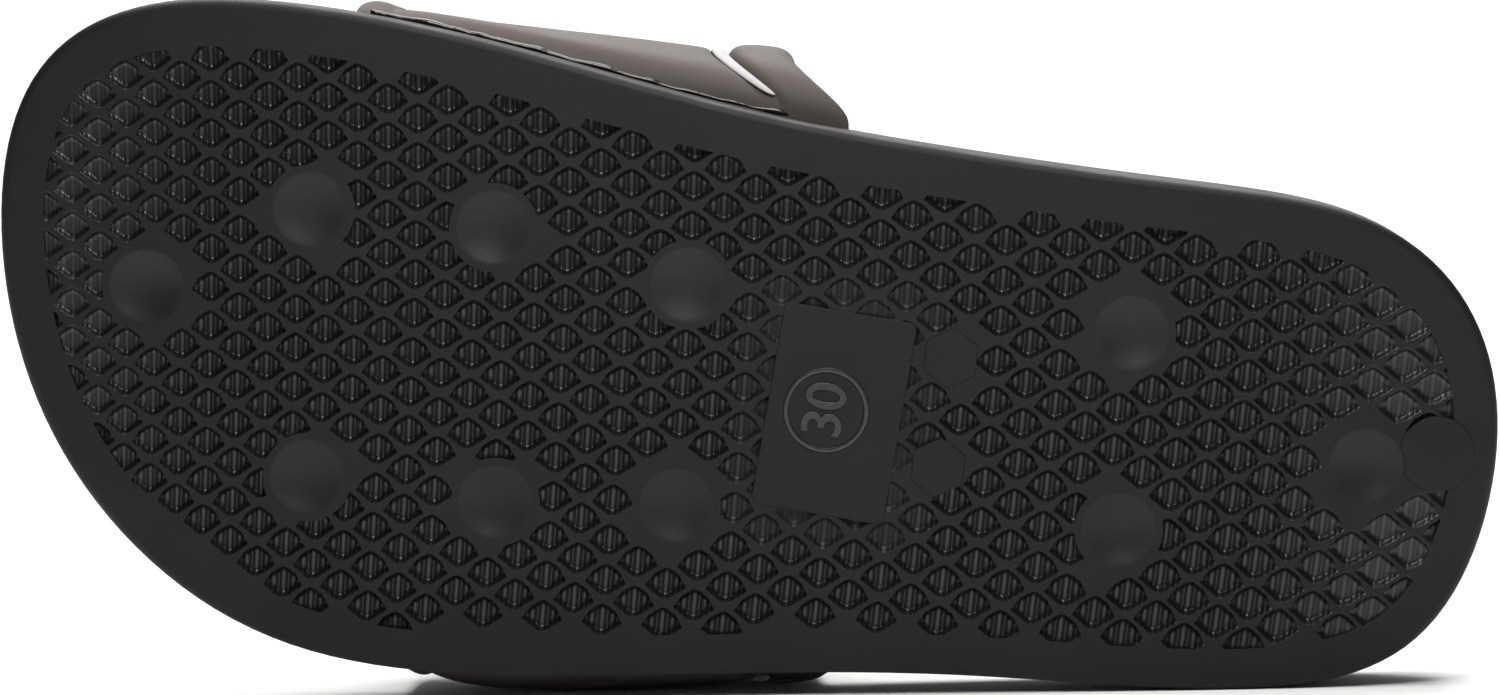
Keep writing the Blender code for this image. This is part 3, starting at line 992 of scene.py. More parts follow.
@dataclass
class Outsole:
    """The moulded outsole: its tread of diamond recesses, grip cups, size plate and small pads."""

    around: int = 192
    edge_round: float = 1.2 * MM
    edge_steps: int = 5
    panel_width: float = 7.3 * MM
    rim_width: float = 5.96 * MM
    rim_change: float = 0.5 * MM
    rim_flare: float = 0.3 * MM
    rim_draft: float = 0.35 * MM
    recess_depth: float = 1.2 * MM
    shallowing: float = 0.30
    least_depth: float = 0.25 * MM
    heel_swell: float = 0.07
    swell_start: float = 0.62
    swell_reach: float = 0.25
    plate_depth: float = 0.55
    plate_gloss: float = 0.3
    cup_gloss: float = 0.15
    calm_reach: float = 7.0 * MM
    end_calm: float = 0.45
    calm_height: float = 0.2 * MM
    calm_rise: float = 1.2 * MM
    mark_inset: float = 4.0 * MM
    rim_reach: float = 0.2 * MM
    pad_radius: float = 6.0 * MM
    pad_clear: float = 6.25 * MM
    hex_clear: float = 3.7 * MM
    cup_radius: float = 4.8 * MM
    cup_depth: float = 1.0 * MM
    plate_length: float = 18.0 * MM
    plate_width: float = 27.5 * MM
    plate_rise: float = 0.15 * MM
    plate_turn: float = math.radians(3.3)
    hex_radius: float = 4.0 * MM
    hex_rise: float = 0.26 * MM
    disc_radius: float = 5.1 * MM
    disc_rise: float = 0.2 * MM
    root: float = 2.7 * MM
    lattice: Lattice = field(default_factory=Lattice)
    finish: MouldedFoam = MouldedFoam("outsole_foam", recess_rough=0.34)

    def block(self) -> bpy.types.Object:
        """The outsole before its tread is cut: round bottom edge, upright wall, plain top."""

        def bottom(lift: float) -> Callable:
            """Heights over the tread."""
            return lambda x, turn: LAST.tread_at(x) + lift

        def top(drop: float) -> Callable:
            """Heights under the seam."""
            return lambda x, turn: LAST.height_at("seam", x) - drop

        skin = Loft(LAST.ring(self.around, self.edge_round, 1, bottom(0)))
        for step in range(1, self.edge_steps + 1):
            bend = step * math.pi / 2 / self.edge_steps
            inset = self.edge_round * (1 - math.sin(bend))
            lift = self.edge_round * (1 - math.cos(bend))
            skin.draw_to(LAST.ring(self.around, inset, 1, bottom(lift)))
        for inset, drop in ((0.0, 0.5), (0.15, 0.15), (0.5, 0.0)):
            skin.draw_to(LAST.ring(self.around, inset * MM, 1, top(drop * MM)))
        shape = skin.finished()
        for y in np.arange(-LAST.half_ball, LAST.half_ball, self.panel_width):
            geom = shape.verts[:] + shape.edges[:] + shape.faces[:]
            bmesh.ops.bisect_plane(shape, geom=geom, dist=WELD, plane_co=(0, y, 0), plane_no=(0, 1, 0))
        return helper_object(shape, "outsole_moulding")

    def rim_test(self) -> Callable:
        """A test whether a diamond at X and Y reaches inside the tread's rim and past its pads."""
        turn = np.linspace(0, 2 * math.pi, 361)
        edge_x, edge_y = LAST.edge_at(turn, self.rim_at(turn))
        pads = [(*LAST.on_tread(place), self.pad_clear) for place in CUPS]
        pads += [(*LAST.on_tread(place), self.hex_clear) for place in HEXES]

        def reaches(x: float, y: float) -> bool:
            """Whether the diamond there is kept."""
            if not 0 < x < LAST.length:
                return False
            inner, outer = LAST.sides_at(x)
            inside = inner + self.rim_width < y < outer - self.rim_width
            near_rim = np.hypot(edge_x - x, edge_y - y).min() < self.rim_reach
            free = all(math.hypot(x - pad_x, y - pad_y) > clear for pad_x, pad_y, clear in pads)
            return (inside or near_rim) and free

        return reaches

    def rim_at(self, turn: np.ndarray) -> np.ndarray:
        """The width of the tread's smooth rim, wider on the inner side."""
        return self.rim_width - self.rim_change * np.sin(turn)

    def near_plate(self, x: np.ndarray, y: np.ndarray) -> np.ndarray:
        """How far points lie outside the size plate.

        Args:
            x: the points' distances from the toe tip.
            y: their distances to the outer side.

        Returns:
            The distances from the plate, 0 on it.
        """
        plate_x, plate_y = LAST.on_tread(SIZE_PLATE)
        past_x = np.clip(abs(x - plate_x) - self.plate_length / 2, 0, None)
        past_y = np.clip(abs(y - plate_y) - self.plate_width / 2, 0, None)
        return np.hypot(past_x, past_y)

    def recesses(self) -> bpy.types.Object:
        """All diamond plugs, each as deep as the tread allows where it stands."""
        plug = Recess().plug()
        counts = self.lattice.diamonds(self.rim_test())
        shape = bmesh.new()
        for _ in counts:
            shape.from_mesh(plug)
        thing = helper_object(shape, "recess_plugs")
        points = np.empty(len(thing.data.vertices) * 3)
        thing.data.vertices.foreach_get("co", points)
        points = points.reshape(-1, 3)
        cell = np.repeat(counts, len(plug.vertices), axis=0)
        middle_x, middle_y = self.lattice.at(cell[:, 0], cell[:, 1])
        along = middle_x / LAST.length
        size = 1 + self.heel_swell * smooth((along - self.swell_start) / self.swell_reach)
        x, y = self.lattice.at(cell[:, 0] + points[:, 0] * size, cell[:, 1] + points[:, 1] * size)
        tread = LAST.tread_at(x)
        depth = np.maximum(self.recess_depth - self.shallowing * LAST.tread_at(middle_x), self.least_depth)
        clear = smooth(self.near_plate(middle_x, middle_y) / self.calm_reach)
        depth = depth * (self.plate_depth + (1 - self.plate_depth) * clear)
        thing.data.vertices.foreach_set("co", np.column_stack([x, y, tread + points[:, 2] * depth]).ravel())
        thing.data.update()
        bpy.data.meshes.remove(plug)
        return thing

    def rim_prism(self) -> bpy.types.Object:
        """The room inside the tread's smooth rim, which the recesses keep to."""
        low, high = -2 * MM, self.root + 1.5 * MM
        rim = self.rim_at(np.arange(self.around) * 2 * math.pi / self.around)
        loops = (
            LAST.ring(self.around, rim - self.rim_flare, 1, lambda x, turn: x * 0 + low),
            LAST.ring(self.around, rim, 1, lambda x, turn: LAST.tread_at(x)),
            LAST.ring(self.around, rim + self.rim_draft, 1, lambda x, turn: x * 0 + high),
        )
        return helper_object(lofted(loops), "rim_prism")

    def turned(
        self,
        profile: Sequence[tuple[float, float]],
        steps: int,
        place: Place,
        first: float = 0.0,
    ) -> bmesh.types.BMesh:
        """A round or many-sided solid at a place on the tread, which follows the tread's curve.

        Args:
            profile: its radius and its height over the tread, from axis to axis.
            steps: how many sides it has.
            place: where it stands.
            first: where its first corner points, from the toe-to-heel line.

        Returns:
            The solid.
        """
        x, y = LAST.on_tread(place)
        shape = spun(profile, steps)
        bmesh.ops.rotate(shape, verts=shape.verts, matrix=Matrix.Rotation(first, 3, "Z"))
        bmesh.ops.translate(shape, verts=shape.verts, vec=(x, y, 0))
        for vertex in shape.verts:
            vertex.co.z += float(LAST.tread_at(vertex.co.x))
        bmesh.ops.recalc_face_normals(shape, faces=shape.faces)
        return shape

    def gathered(self, shapes: Sequence[bmesh.types.BMesh], name: str) -> bpy.types.Object:
        """Several solids as one object.

        Args:
            shapes: the solids, which are used up.
            name: the object's name.

        Returns:
            The object.
        """
        whole = bmesh.new()
        for shape in shapes:
            mesh = bpy.data.meshes.new(name)
            shape.to_mesh(mesh)
            shape.free()
            whole.from_mesh(mesh)
            bpy.data.meshes.remove(mesh)
        return helper_object(whole, name)

    def room_profile(self, radius: float) -> list[tuple[float, float]]:
        """The profile of a pad's own room, a little wider at its root."""
        low, high = -2 * MM, 3.5 * MM
        return [(0.0, low), (radius - 0.35 * MM, low), (radius, 0.0), (radius + 0.3 * MM, high), (0.0, high)]

    def pad_rooms(self) -> bpy.types.Object:
        """The places on the tread that no recess reaches: round pads and six-sided pads."""
        shapes = [self.turned(self.room_profile(self.pad_radius), 40, place) for place in CUPS]
        rooms = self.room_profile(self.hex_radius)
        shapes += [self.turned(rooms, 6, place, first=math.radians(30)) for place in HEXES]
        return self.gathered(shapes, "pad_rooms")

    def raised(self, radius: float, rise: float) -> list[tuple[float, float]]:
        """The profile of a flat pad with a softened edge.

        Args:
            radius: the pad's radius.
            rise: how far it stands proud.

        Returns:
            Radius and height, from axis to axis.
        """
        soft = 0.15 * MM
        return [
            (0.0, self.root),
            (radius, self.root),
            (radius, -rise + soft),
            (radius - soft * 0.3, -rise + soft * 0.3),
            (radius - soft, -rise),
            (0.0, -rise),
        ]

    def small_pads(self) -> bpy.types.Object:
        """The flat disc beside the last grip cup, and the two six-sided pads."""
        shapes = [self.turned(self.raised(self.disc_radius, self.disc_rise), 48, HEEL_DISC)]
        profile = self.raised(self.hex_radius, self.hex_rise)
        shapes += [self.turned(profile, 6, place, first=math.radians(30)) for place in HEXES]
        return self.gathered(shapes, "small_pads")

    def cups(self) -> bpy.types.Object:
        """The bowls in the grip cups, with a softly rounded lip."""
        radius, depth = self.cup_radius, self.cup_depth
        lip = [(1.105, -0.012), (1.042, 0.02), (0.99, 0.07), (0.938, 0.14)]
        bowl = [(out, 1 - out**2) for out in (0.833, 0.708, 0.542, 0.354, 0.167, 0.0)]
        profile = [(0.0, -0.8 * MM), (radius * 1.14, -0.8 * MM)]
        profile += [(radius * out, depth * down) for out, down in lip + bowl]
        return self.gathered([self.turned(profile, 48, place) for place in CUPS], "cup_bowls")

    def plate(self) -> bpy.types.Object:
        """The smooth plate under the arch, with softened edges."""
        x, y = LAST.on_tread(SIZE_PLATE)
        shape = bmesh.new()
        bmesh.ops.create_cube(shape, size=1)
        vec = (self.plate_length, self.plate_width, self.root + self.plate_rise)
        bmesh.ops.scale(shape, vec=vec, verts=shape.verts)
        upright = [edge for edge in shape.edges if abs(edge.verts[0].co.z - edge.verts[1].co.z) > MM]
        bmesh.ops.bevel(
            shape, geom=upright, offset=1.1 * MM, segments=4, profile=0.5, affect="EDGES", material=-1
        )
        face = [edge for edge in shape.edges if max(vertex.co.z for vertex in edge.verts) < 0]
        bmesh.ops.bevel(
            shape, geom=face, offset=0.14 * MM, segments=2, profile=0.5, affect="EDGES", material=-1
        )
        bmesh.ops.rotate(shape, matrix=Matrix.Rotation(self.plate_turn, 3, "Z"), verts=shape.verts)
        bmesh.ops.translate(shape, vec=(x, y, (self.root - self.plate_rise) / 2), verts=shape.verts)
        return helper_object(shape, "plate_block")

    def within_cups(self, x: np.ndarray, y: np.ndarray) -> np.ndarray:
        """Whether points of the tread lie in a grip cup.

        Args:
            x: the points' distances from the toe tip.
            y: their distances to the outer side.

        Returns:
            True for each point in a cup or on its lip.
        """
        middles = [LAST.on_tread(place) for place in CUPS]
        away = [np.hypot(x - cup_x, y - cup_y) for cup_x, cup_y in middles]
        return np.min(away, axis=0) < 1.13 * self.cup_radius

    def mark_recesses(self, mesh: bpy.types.Mesh) -> None:
        """Marks how glossy and how ribbed faces in recesses and cups are, and counts the ribs.

        Args:
            mesh: the outsole's mesh, modelled as the shoe stands.
        """
        middles = np.empty(len(mesh.polygons) * 3)
        mesh.polygons.foreach_get("center", middles)
        x, y, z = middles.reshape(-1, 3).T
        inner, outer = LAST.sides_at(x)
        inset = self.mark_inset
        inside = (inner + inset < y) & (y < outer - inset) & (inset < x) & (x < LAST.length - inset)
        sunk = (z > LAST.tread_at(x) + 0.02 * MM) & (z < self.root)
        in_cup = self.within_cups(x, y)
        clear = smooth(self.near_plate(x, y) / self.calm_reach)
        gloss = np.where(in_cup, self.cup_gloss, self.plate_gloss + (1 - self.plate_gloss) * clear)
        ends = 1 - self.end_calm * smooth((LAST.tread_at(x) - self.calm_height) / self.calm_rise)
        mark = mesh.attributes.new(RECESS_MARK, "FLOAT", "FACE")
        mark.data.foreach_set("value", np.where(inside & sunk, gloss, 0.0))
        rib = mesh.attributes.new(RIB_MARK, "FLOAT", "FACE")
        rib.data.foreach_set("value", np.where(in_cup, 0.0, ends))
        points = np.empty(len(mesh.vertices) * 3)
        mesh.vertices.foreach_get("co", points)
        points = points.reshape(-1, 3)
        count = mesh.attributes.new(COLUMN_MARK, "FLOAT", "POINT")
        count.data.foreach_set("value", self.lattice.column_at(points[:, 0], points[:, 1]))

    def build(self, tuck_room: bpy.types.Object) -> bpy.types.Object:
        """Builds and dresses the outsole.

        Args:
            tuck_room: the room that the band's tucked ends take.

        Returns:
            The piece.
        """
        sole = self.block()
        plugs, prism, rooms = self.recesses(), self.rim_prism(), self.pad_rooms()
        combine(plugs, prism, Cut.WITHIN)
        combine(plugs, rooms, Cut.AWAY)
        combine(sole, plugs, Cut.AWAY)
        pads, plate, cups = self.small_pads(), self.plate(), self.cups()
        combine(sole, pads, Cut.ONTO)
        combine(sole, plate, Cut.ONTO)
        combine(sole, cups, Cut.AWAY)
        combine(sole, tuck_room, Cut.AWAY)
        settle(sole, [plugs, prism, rooms, pads, plate, cups])
        self.mark_recesses(sole.data)
        lay_down(sole, self.finish.material(), "outsole", sharp_degrees=45)
        weigh = sole.modifiers.new("even_normals", "WEIGHTED_NORMAL")
        weigh.mode = "FACE_AREA"
        weigh.weight = 85
        weigh.keep_sharp = True
        return sole


@dataclass
class SizeMark:
    """The plain size number in its ring, raised on the plate."""

    number: str = "30"
    place: Place = Place(0.5565, -0.054)
    ring_radius: float = 5.4 * MM
    ring_half_width: float = 0.38 * MM
    ring_half_height: float = 0.32 * MM
    ring_corners: int = 8
    ring_steps: int = 72
    digit_height: float = 5.3 * MM
    capital_share: float = 0.70
    digit_weight: float = 0.05 * MM
    digit_bevel: float = 0.06 * MM
    digit_spacing: float = 0.98
    digit_turn: float = math.radians(-86.7)
    raised: float = 0.24 * MM
    finish: MouldedFoam = MouldedFoam("mark_foam", rough_low=0.30, rough_high=0.38, specular=0.6)

    def ring(self, ground: float) -> bpy.types.Object:
        """The ring round the digits, half sunk in the plate.

        Args:
            ground: the plate's height.

        Returns:
            The ring.
        """
        profile = []
        for step in range(self.ring_corners):
            bend = step * 2 * math.pi / self.ring_corners
            out = self.ring_radius + self.ring_half_width * math.cos(bend)
            profile.append((out, ground + self.ring_half_height * math.sin(bend)))
        shape = spun(profile, self.ring_steps, closed=True)
        bmesh.ops.translate(shape, verts=shape.verts, vec=(*LAST.on_tread(self.place), 0))
        bmesh.ops.recalc_face_normals(shape, faces=shape.faces)
        return helper_object(shape, "size_ring")

    def digits(self, ground: float) -> bpy.types.Object:
        """The number's raised digits, half sunk in the plate.

        Args:
            ground: the plate's height.

        Returns:
            The digits.
        """
        words = bpy.data.curves.new("size_number", "FONT")
        words.body = self.number
        words.size = self.digit_height / self.capital_share
        words.align_x, words.align_y = "CENTER", "CENTER"
        words.extrude = self.raised
        words.offset = self.digit_weight
        words.bevel_depth = self.digit_bevel
        words.bevel_resolution = 1
        words.space_character = self.digit_spacing
        label = bpy.data.objects.new("size_text", words)
        bpy.context.scene.collection.objects.link(label)
        graph = bpy.context.evaluated_depsgraph_get()
        mesh = bpy.data.meshes.new_from_object(label.evaluated_get(graph))
        bpy.data.objects.remove(label)
        face_down = Matrix.Rotation(math.pi, 4, "X")
        turn = Matrix.Rotation(self.digit_turn, 4, "Z")
        mesh.transform(Matrix.Translation((*LAST.on_tread(self.place), ground)) @ turn @ face_down)
        shape = bmesh.new()
        shape.from_mesh(mesh)
        bpy.data.meshes.remove(mesh)
        bmesh.ops.remove_doubles(shape, verts=shape.verts, dist=WELD)
        return helper_object(shape, "size_number")

    def build(self, ground: float) -> list[bpy.types.Object]:
        """Builds and dresses the ring and the digits.

        Args:
            ground: the plate's height.

        Returns:
            The two pieces.
        """
        material = self.finish.material()
        ring = lay_down(self.ring(ground), material)
        number = lay_down(self.digits(ground), material, sharp_degrees=15)
        return [ring, number]


# Footbed

@dataclass
class Footbed:
    """The contoured footbed: upright edge, rounded rim and dished top."""

    around: int = 176
    step: float = 0.5 * MM
    clearance: float = 0.3 * MM
    edge_bevel: float = 0.3 * MM
    rim_round: float = 1.6 * MM
    rim_steps: int = 5
    dish_start: float = 4.5 * MM
    dish_power: float = 2.4
    shares: tuple = (1, 0.97, 0.93, 0.88, 0.8, 0.7, 0.6, 0.5, 0.4, 0.3, 0.2, 0.1)
    finish: MouldedFoam = MouldedFoam(
        "footbed_foam",
        dark=(0.011, 0.011, 0.012),
        light=(0.019, 0.0185, 0.019),
        rough_low=0.55,
        rough_high=0.72,
        pebble_scale=720.0,
        pebble_depth=0.11 * MM,
    )

    def rim(self, x: np.ndarray, turn: np.ndarray) -> np.ndarray:
        """The rim's height round the sole.

        Args:
            x: distances from the toe tip.
            turn: 0 at the toe tip, pi at the heel tip, by the outer side.

        Returns:
            The heights.
        """
        inward = (1 - np.sin(turn)) / 2
        inner, outer = LAST.height_at("inner_rim", x), LAST.height_at("outer_rim", x)
        return outer + (inner - outer) * inward

    def build(self, tuck_room: bpy.types.Object) -> bpy.types.Object:
        """Builds and dresses the footbed.

        Args:
            tuck_room: the room that the band's tucked ends take.

        Returns:
            The piece.
        """

        def over_seam(lift: float) -> Callable:
            """Heights over the underside."""
            return lambda x, turn: LAST.height_at("seam", x) + self.clearance + lift

        def under_rim(drop: float) -> Callable:
            """Heights under the rim's top."""
            return lambda x, turn: self.rim(x, turn) - drop

        def dished(share: float) -> Callable:
            """Heights of the dish, 0 on the middle line and 1 where it starts."""

            def height(x: np.ndarray, turn: np.ndarray) -> np.ndarray:
                """The height at these places."""
                low = LAST.height_at("floor", x)
                return low + (self.rim(x, turn) - self.rim_round / 4 - low) * share**self.dish_power

            return height

        skin = Loft(LAST.ring(self.around, self.step + self.edge_bevel, 1, over_seam(0)))
        skin.draw_to(LAST.ring(self.around, self.step, 1, over_seam(self.edge_bevel)))
        for step in range(self.rim_steps + 1):
            bend = step * math.pi / 2 / self.rim_steps
            inset = self.step + self.rim_round * (1 - math.cos(bend))
            skin.draw_to(LAST.ring(self.around, inset, 1, under_rim(self.rim_round * (1 - math.sin(bend)))))
        for share in self.shares:
            skin.draw_to(LAST.ring(self.around, self.dish_start, share, dished(share)))
        bed = helper_object(skin.finished(), "footbed_moulding")
        combine(bed, tuck_room, Cut.AWAY)
        settle(bed)
        return lay_down(bed, self.finish.material(), "footbed", sharp_degrees=50)


# Band over the foot

class SectionRow(NamedTuple):
    """One line along the band: its place across the width, and its heights over the lining's line."""

    edge: BandEdge
    distance: float
    face: float
    lining: float


@dataclass
class Band:
    """The padded band: a rolled front edge, a smooth panel, a groove, and a thick rear roll."""

    panel: float = 3.4 * MM
    front_roll: float = 4.0 * MM
    rear_roll: float = 4.4 * MM
    front_roll_width: float = 5.0 * MM
    rear_roll_width: float = 9.4 * MM
    groove_width: float = 2.2 * MM
    groove_depth: float = 1.2 * MM
    panel_shoulder: float = 7.0 * MM
    edge_turn: float = 0.6 * MM
    tuck: float = 1.6 * MM
    tuck_depth: float = 9.0 * MM
    tuck_room: float = 0.45 * MM
    tuck_points: int = 3
    inner_reach: float = 0.991
    front_height: float = 42.0 * MM
    rear_height: float = 56.0 * MM
    lower_wall: float = 12.0 * MM
    squareness: float = 2.5
    arch_steps: int = 9
    clearance: float = 0.3 * MM
    dent: tuple = (88.0 * MM, -38.0 * MM, 40.0 * MM)
    dent_depth: float = 0.45 * MM
    dent_radius: float = 2.2 * MM
    swell_middle: float = 14.0 * MM
    swell_scale: float = 55.0
    swell_depth: float = 0.22 * MM
    pucker_scale: float = 160.0
    pucker_depth: float = 0.07 * MM
    smooth_height: float = 10.0 * MM
    smooth_reach: float = 8.0 * MM
    finish: CoatedLeather = CoatedLeather("band_cover")

    @property
    def arch_points(self) -> int:
        """How many points the lining's line has."""
        return 2 * (self.tuck_points + len(OUTER_FOOT)) + 2 * self.arch_steps + 1

    def section(self) -> list[SectionRow]:
        """The lines along the band, from its front edge to its rear edge."""
        front, rear = BandEdge.FRONT, BandEdge.REAR
        front_roll, rear_roll, panel = self.front_roll, self.rear_roll, self.panel
        front_wide, rear_wide, turn = self.front_roll_width, self.rear_roll_width, self.edge_turn
        groove_end = rear_wide + self.groove_width
        groove = panel - self.groove_depth
        return [
            SectionRow(front, 0.0, front_roll * 0.60, 1.5 * MM),
            SectionRow(front, turn, front_roll * 0.88, 0.5 * MM),
            SectionRow(front, front_wide * 0.38, front_roll * 1.01, 0.0),
            SectionRow(front, front_wide * 0.75, front_roll * 0.96, 0.0),
            SectionRow(front, front_wide * 0.94, panel * 0.86, 0.0),
            SectionRow(front, front_wide * 1.04, panel * 0.85, 0.0),
            SectionRow(front, front_wide * 1.4, panel * 0.97, 0.0),
            SectionRow(front, front_wide * 3.0, panel, 0.0),
            SectionRow(rear, groove_end + self.panel_shoulder, panel, 0.0),
            SectionRow(rear, groove_end + self.panel_shoulder * 0.2, panel, 0.0),
            SectionRow(rear, groove_end + self.panel_shoulder * 0.03, panel * 0.92, 0.0),
            SectionRow(rear, groove_end, groove, 0.0),
            SectionRow(rear, rear_wide, groove, 0.0),
            SectionRow(rear, rear_wide - turn * 0.4, rear_roll * 0.74, 0.0),
            SectionRow(rear, rear_wide - turn * 1.8, rear_roll * 0.92, 0.0),
            SectionRow(rear, rear_wide * 0.75, rear_roll, 0.0),
            SectionRow(rear, rear_wide * 0.45, rear_roll * 1.03, 0.0),
            SectionRow(rear, rear_wide * 0.21, rear_roll, 0.0),
            SectionRow(rear, turn, rear_roll * 0.80, 0.5 * MM),
            SectionRow(rear, 0.0, rear_roll * 0.52, 1.5 * MM),
        ]

    def foot(self, rows: Sequence[FootRow], edge: float, reach: float, joint: float) -> list[tuple]:
        """The lining's points from the tuck up to the widest place, on one side.

        Args:
            rows: how the lining leaves the joint on this side.
            edge: how far the sole's edge lies from its middle.
            reach: how far the widest place lies from it.
            joint: the joint's height.

        Returns:
            The points' distances from the middle and their heights.
        """
        middle = joint + self.tuck / 2
        points = [(edge - self.tuck_depth, middle), (edge - self.tuck_depth / 2, middle)]
        points.append((edge - self.edge_turn, middle))
        rise = self.lower_wall - self.tuck / 2
        return points + [(edge + row.out * (reach - edge), middle + row.up * rise) for row in rows]

    def arch_at(self, x: float) -> np.ndarray:
        """The lining's line over the foot.

        Args:
            x: the distance from the toe tip.

        Returns:
            Y and Z of its points, from the inner tuck to the outer one.
        """
        inner, outer = (float(side) for side in LAST.sides_at(x))
        middle = (inner + outer) / 2
        joint = float(LAST.height_at("seam", x)) + self.clearance / 2
        spring = joint + self.lower_wall
        share = x / LAST.length
        places, reaches = [row.along for row in OUTER_REACH], [row.reach for row in OUTER_REACH]
        reach = float(through(places, reaches, share))
        outer_reach = reach * LAST.half_ball - self.panel - middle
        inner_reach = self.inner_reach * LAST.half_ball - self.panel + middle
        front, rear = BAND_EDGES[2].front * LAST.length, BAND_EDGES[2].rear * LAST.length
        rise = (self.rear_height - self.front_height) * (x - front) / (rear - front)
        top = self.front_height + rise - self.panel
        line = [(-y, z) for y, z in self.foot(INNER_FOOT, middle - inner, inner_reach, joint)]
        power = 2 / self.squareness
        for step in range(2 * self.arch_steps + 1):
            bend = step * math.pi / (2 * self.arch_steps)
            wide = inner_reach if step < self.arch_steps else outer_reach
            y = -math.copysign(abs(math.cos(bend)) ** power, math.cos(bend)) * wide
            line.append((y, spring + (top - spring) * math.sin(bend) ** power))
        line += self.foot(OUTER_FOOT, outer - middle, outer_reach, joint)[::-1]
        return np.array(line) + (middle, 0)

    def edges_at(self, point: int) -> tuple[float, float]:
        """Where the band's front and rear edges lie.

        Args:
            point: the place along the arch, as a count of the lining's points.

        Returns:
            The two edges' distances from the toe tip.
        """
        over = (point - self.tuck_points) / (self.arch_points - 1 - 2 * self.tuck_points)
        shares = [row.over for row in BAND_EDGES]
        front = through(shares, [row.front for row in BAND_EDGES], over)
        rear = through(shares, [row.rear for row in BAND_EDGES], over)
        return float(front) * LAST.length, float(rear) * LAST.length

    def fullness(self, point: int) -> float:
        """The share of its full thickness that the band has at a point of its arch.

        Args:
            point: the place along the arch, as a count of the lining's points.

        Returns:
            The share, 0 in the tucked ends.
        """
        from_end = min(point, self.arch_points - 1 - point)
        share = np.clip((from_end - self.tuck_points + 1) / len(OUTER_FOOT), 0, 1)
        return float(1 - (1 - share) ** 2)

    def groove_share(self, point: int) -> float:
        """How much of its full depth the groove has at a point of the arch: none where it dies out."""
        from_end = min(point, self.arch_points - 1 - point)
        return float(smooth((from_end - self.tuck_points + 1) / 2.0))

    def point(self, point: int, edge: BandEdge, distance: float, height: float) -> tuple:
        """A point of the band.

        Args:
            point: its place along the arch, as a count of the lining's points.
            edge: the edge of the band that its distance is measured from.
            distance: how far it lies inside that edge.
            height: how high it lies over the lining.

        Returns:
            X, Y and Z.
        """
        front, rear = self.edges_at(point)
        x = front + distance if edge is BandEdge.FRONT else rear - distance
        line = self.arch_at(x)
        along = np.gradient(line, axis=0)
        along /= np.linalg.norm(along, axis=1)[:, None]
        y, z = line[point] + height * np.array([-along[point][1], along[point][0]])
        return x, y, z

    def skin(self, rows: Sequence[SectionRow], grow: float = 0.0) -> bmesh.types.BMesh:
        """The band as one closed wall.

        Args:
            rows: the lines of its section.
            grow: how far every side is moved out.

        Returns:
            The wall.
        """
        loops = []
        for point in range(self.arch_points):
            full = self.fullness(point)
            inward = grow if point == 0 else -grow if point == self.arch_points - 1 else 0
            face, lining = [], []
            for row in rows:
                stretch = -grow if row.distance == 0 else 0
                thick = row.face
                if thick == self.panel - self.groove_depth:
                    thick += self.groove_depth * 1.15 * (1 - self.groove_share(point))
                high = self.tuck + (thick - self.tuck) * full
                low = min(row.lining, self.tuck / 4 + row.lining * full / 2)
                for side, height in ((face, high + grow), (lining, low - grow)):
                    x, y, z = self.point(point, row.edge, row.distance + stretch, height)
                    side.append((x, y + inward, z))
            loops.append(np.array(face + lining[::-1]))
        return lofted(loops, pair_offset=1)

    def room(self) -> bpy.types.Object:
        """The room that the band takes out of the soles where it is tucked between them."""
        return helper_object(self.skin(self.section(), grow=self.tuck_room), "tuck_room")

    def crease(self, thing: bpy.types.Object) -> None:
        """Works soft unevenness, puckers and a small dent into the band.

        Args:
            thing: the band, modelled as the shoe stands.
        """
        for vertex in thing.data.vertices:
            place = vertex.co
            out = Vector((0, place.y, place.z - self.swell_middle)).normalized()
            swell = noise.noise(place * self.swell_scale) * self.swell_depth
            swell += noise.noise(place * self.pucker_scale) * self.pucker_depth
            near = (place - Vector(self.dent)).length / self.dent_radius
            pit = -self.dent_depth * math.exp(-(near**2))
            free = float(smooth((place.z - self.smooth_height) / self.smooth_reach))
            vertex.co = place + out * (swell + pit) * free
        thing.data.update()

    def build(self) -> bpy.types.Object:
        """Builds and dresses the band."""
        band = helper_object(self.skin(self.section()), "band_cover")
        round_off(band, 2)
        self.crease(band)
        lay_down(band, self.finish.material(), "upper_band", sharp_degrees=180)
        return band


@dataclass
class Stripe:
    """The white strip in the band's groove."""

    width: float = 2.2 * MM
    thickness: float = 0.9 * MM
    across: float = 0.58
    proud: float = 0.10 * MM
    rising: float = 0.6
    clearance: float = 0.3 * MM
    finish: WhiteStrip = WhiteStrip("stripe_white")

    def build(self, band: Band) -> bpy.types.Object:
        """Builds and dresses the strip.

        Args:
            band: the band that carries it.

        Returns:
            The piece.
        """
        middle = band.rear_roll_width + band.groove_width * self.across
        floor = band.panel - band.groove_depth + self.clearance
        corners = (
            (-self.width / 2, floor),
            (self.width / 2, floor),
            (self.width / 2, floor + self.thickness * 0.7),
            (0.0, floor + self.thickness),
            (-self.width / 2, floor + self.thickness * 0.7),
            (-self.width / 2, floor + self.thickness * 0.3),
        )
        loops = []
        start = band.tuck_points
        for point in range(start, band.arch_points - start):
            full = band.fullness(point)
            lift = band.groove_depth * self.rising * (1 - band.groove_share(point)) + self.proud
            loop = []
            for across, height in corners:
                high = band.tuck + (height + lift - band.tuck) * full
                loop.append(band.point(point, BandEdge.REAR, middle + across, high))
            loops.append(np.array(loop))
        strip = helper_object(lofted(loops, pair_offset=1), "groove_strip")
        round_off(strip, 2)
        return lay_down(strip, self.finish.material(), "edge_stripe", sharp_degrees=180)


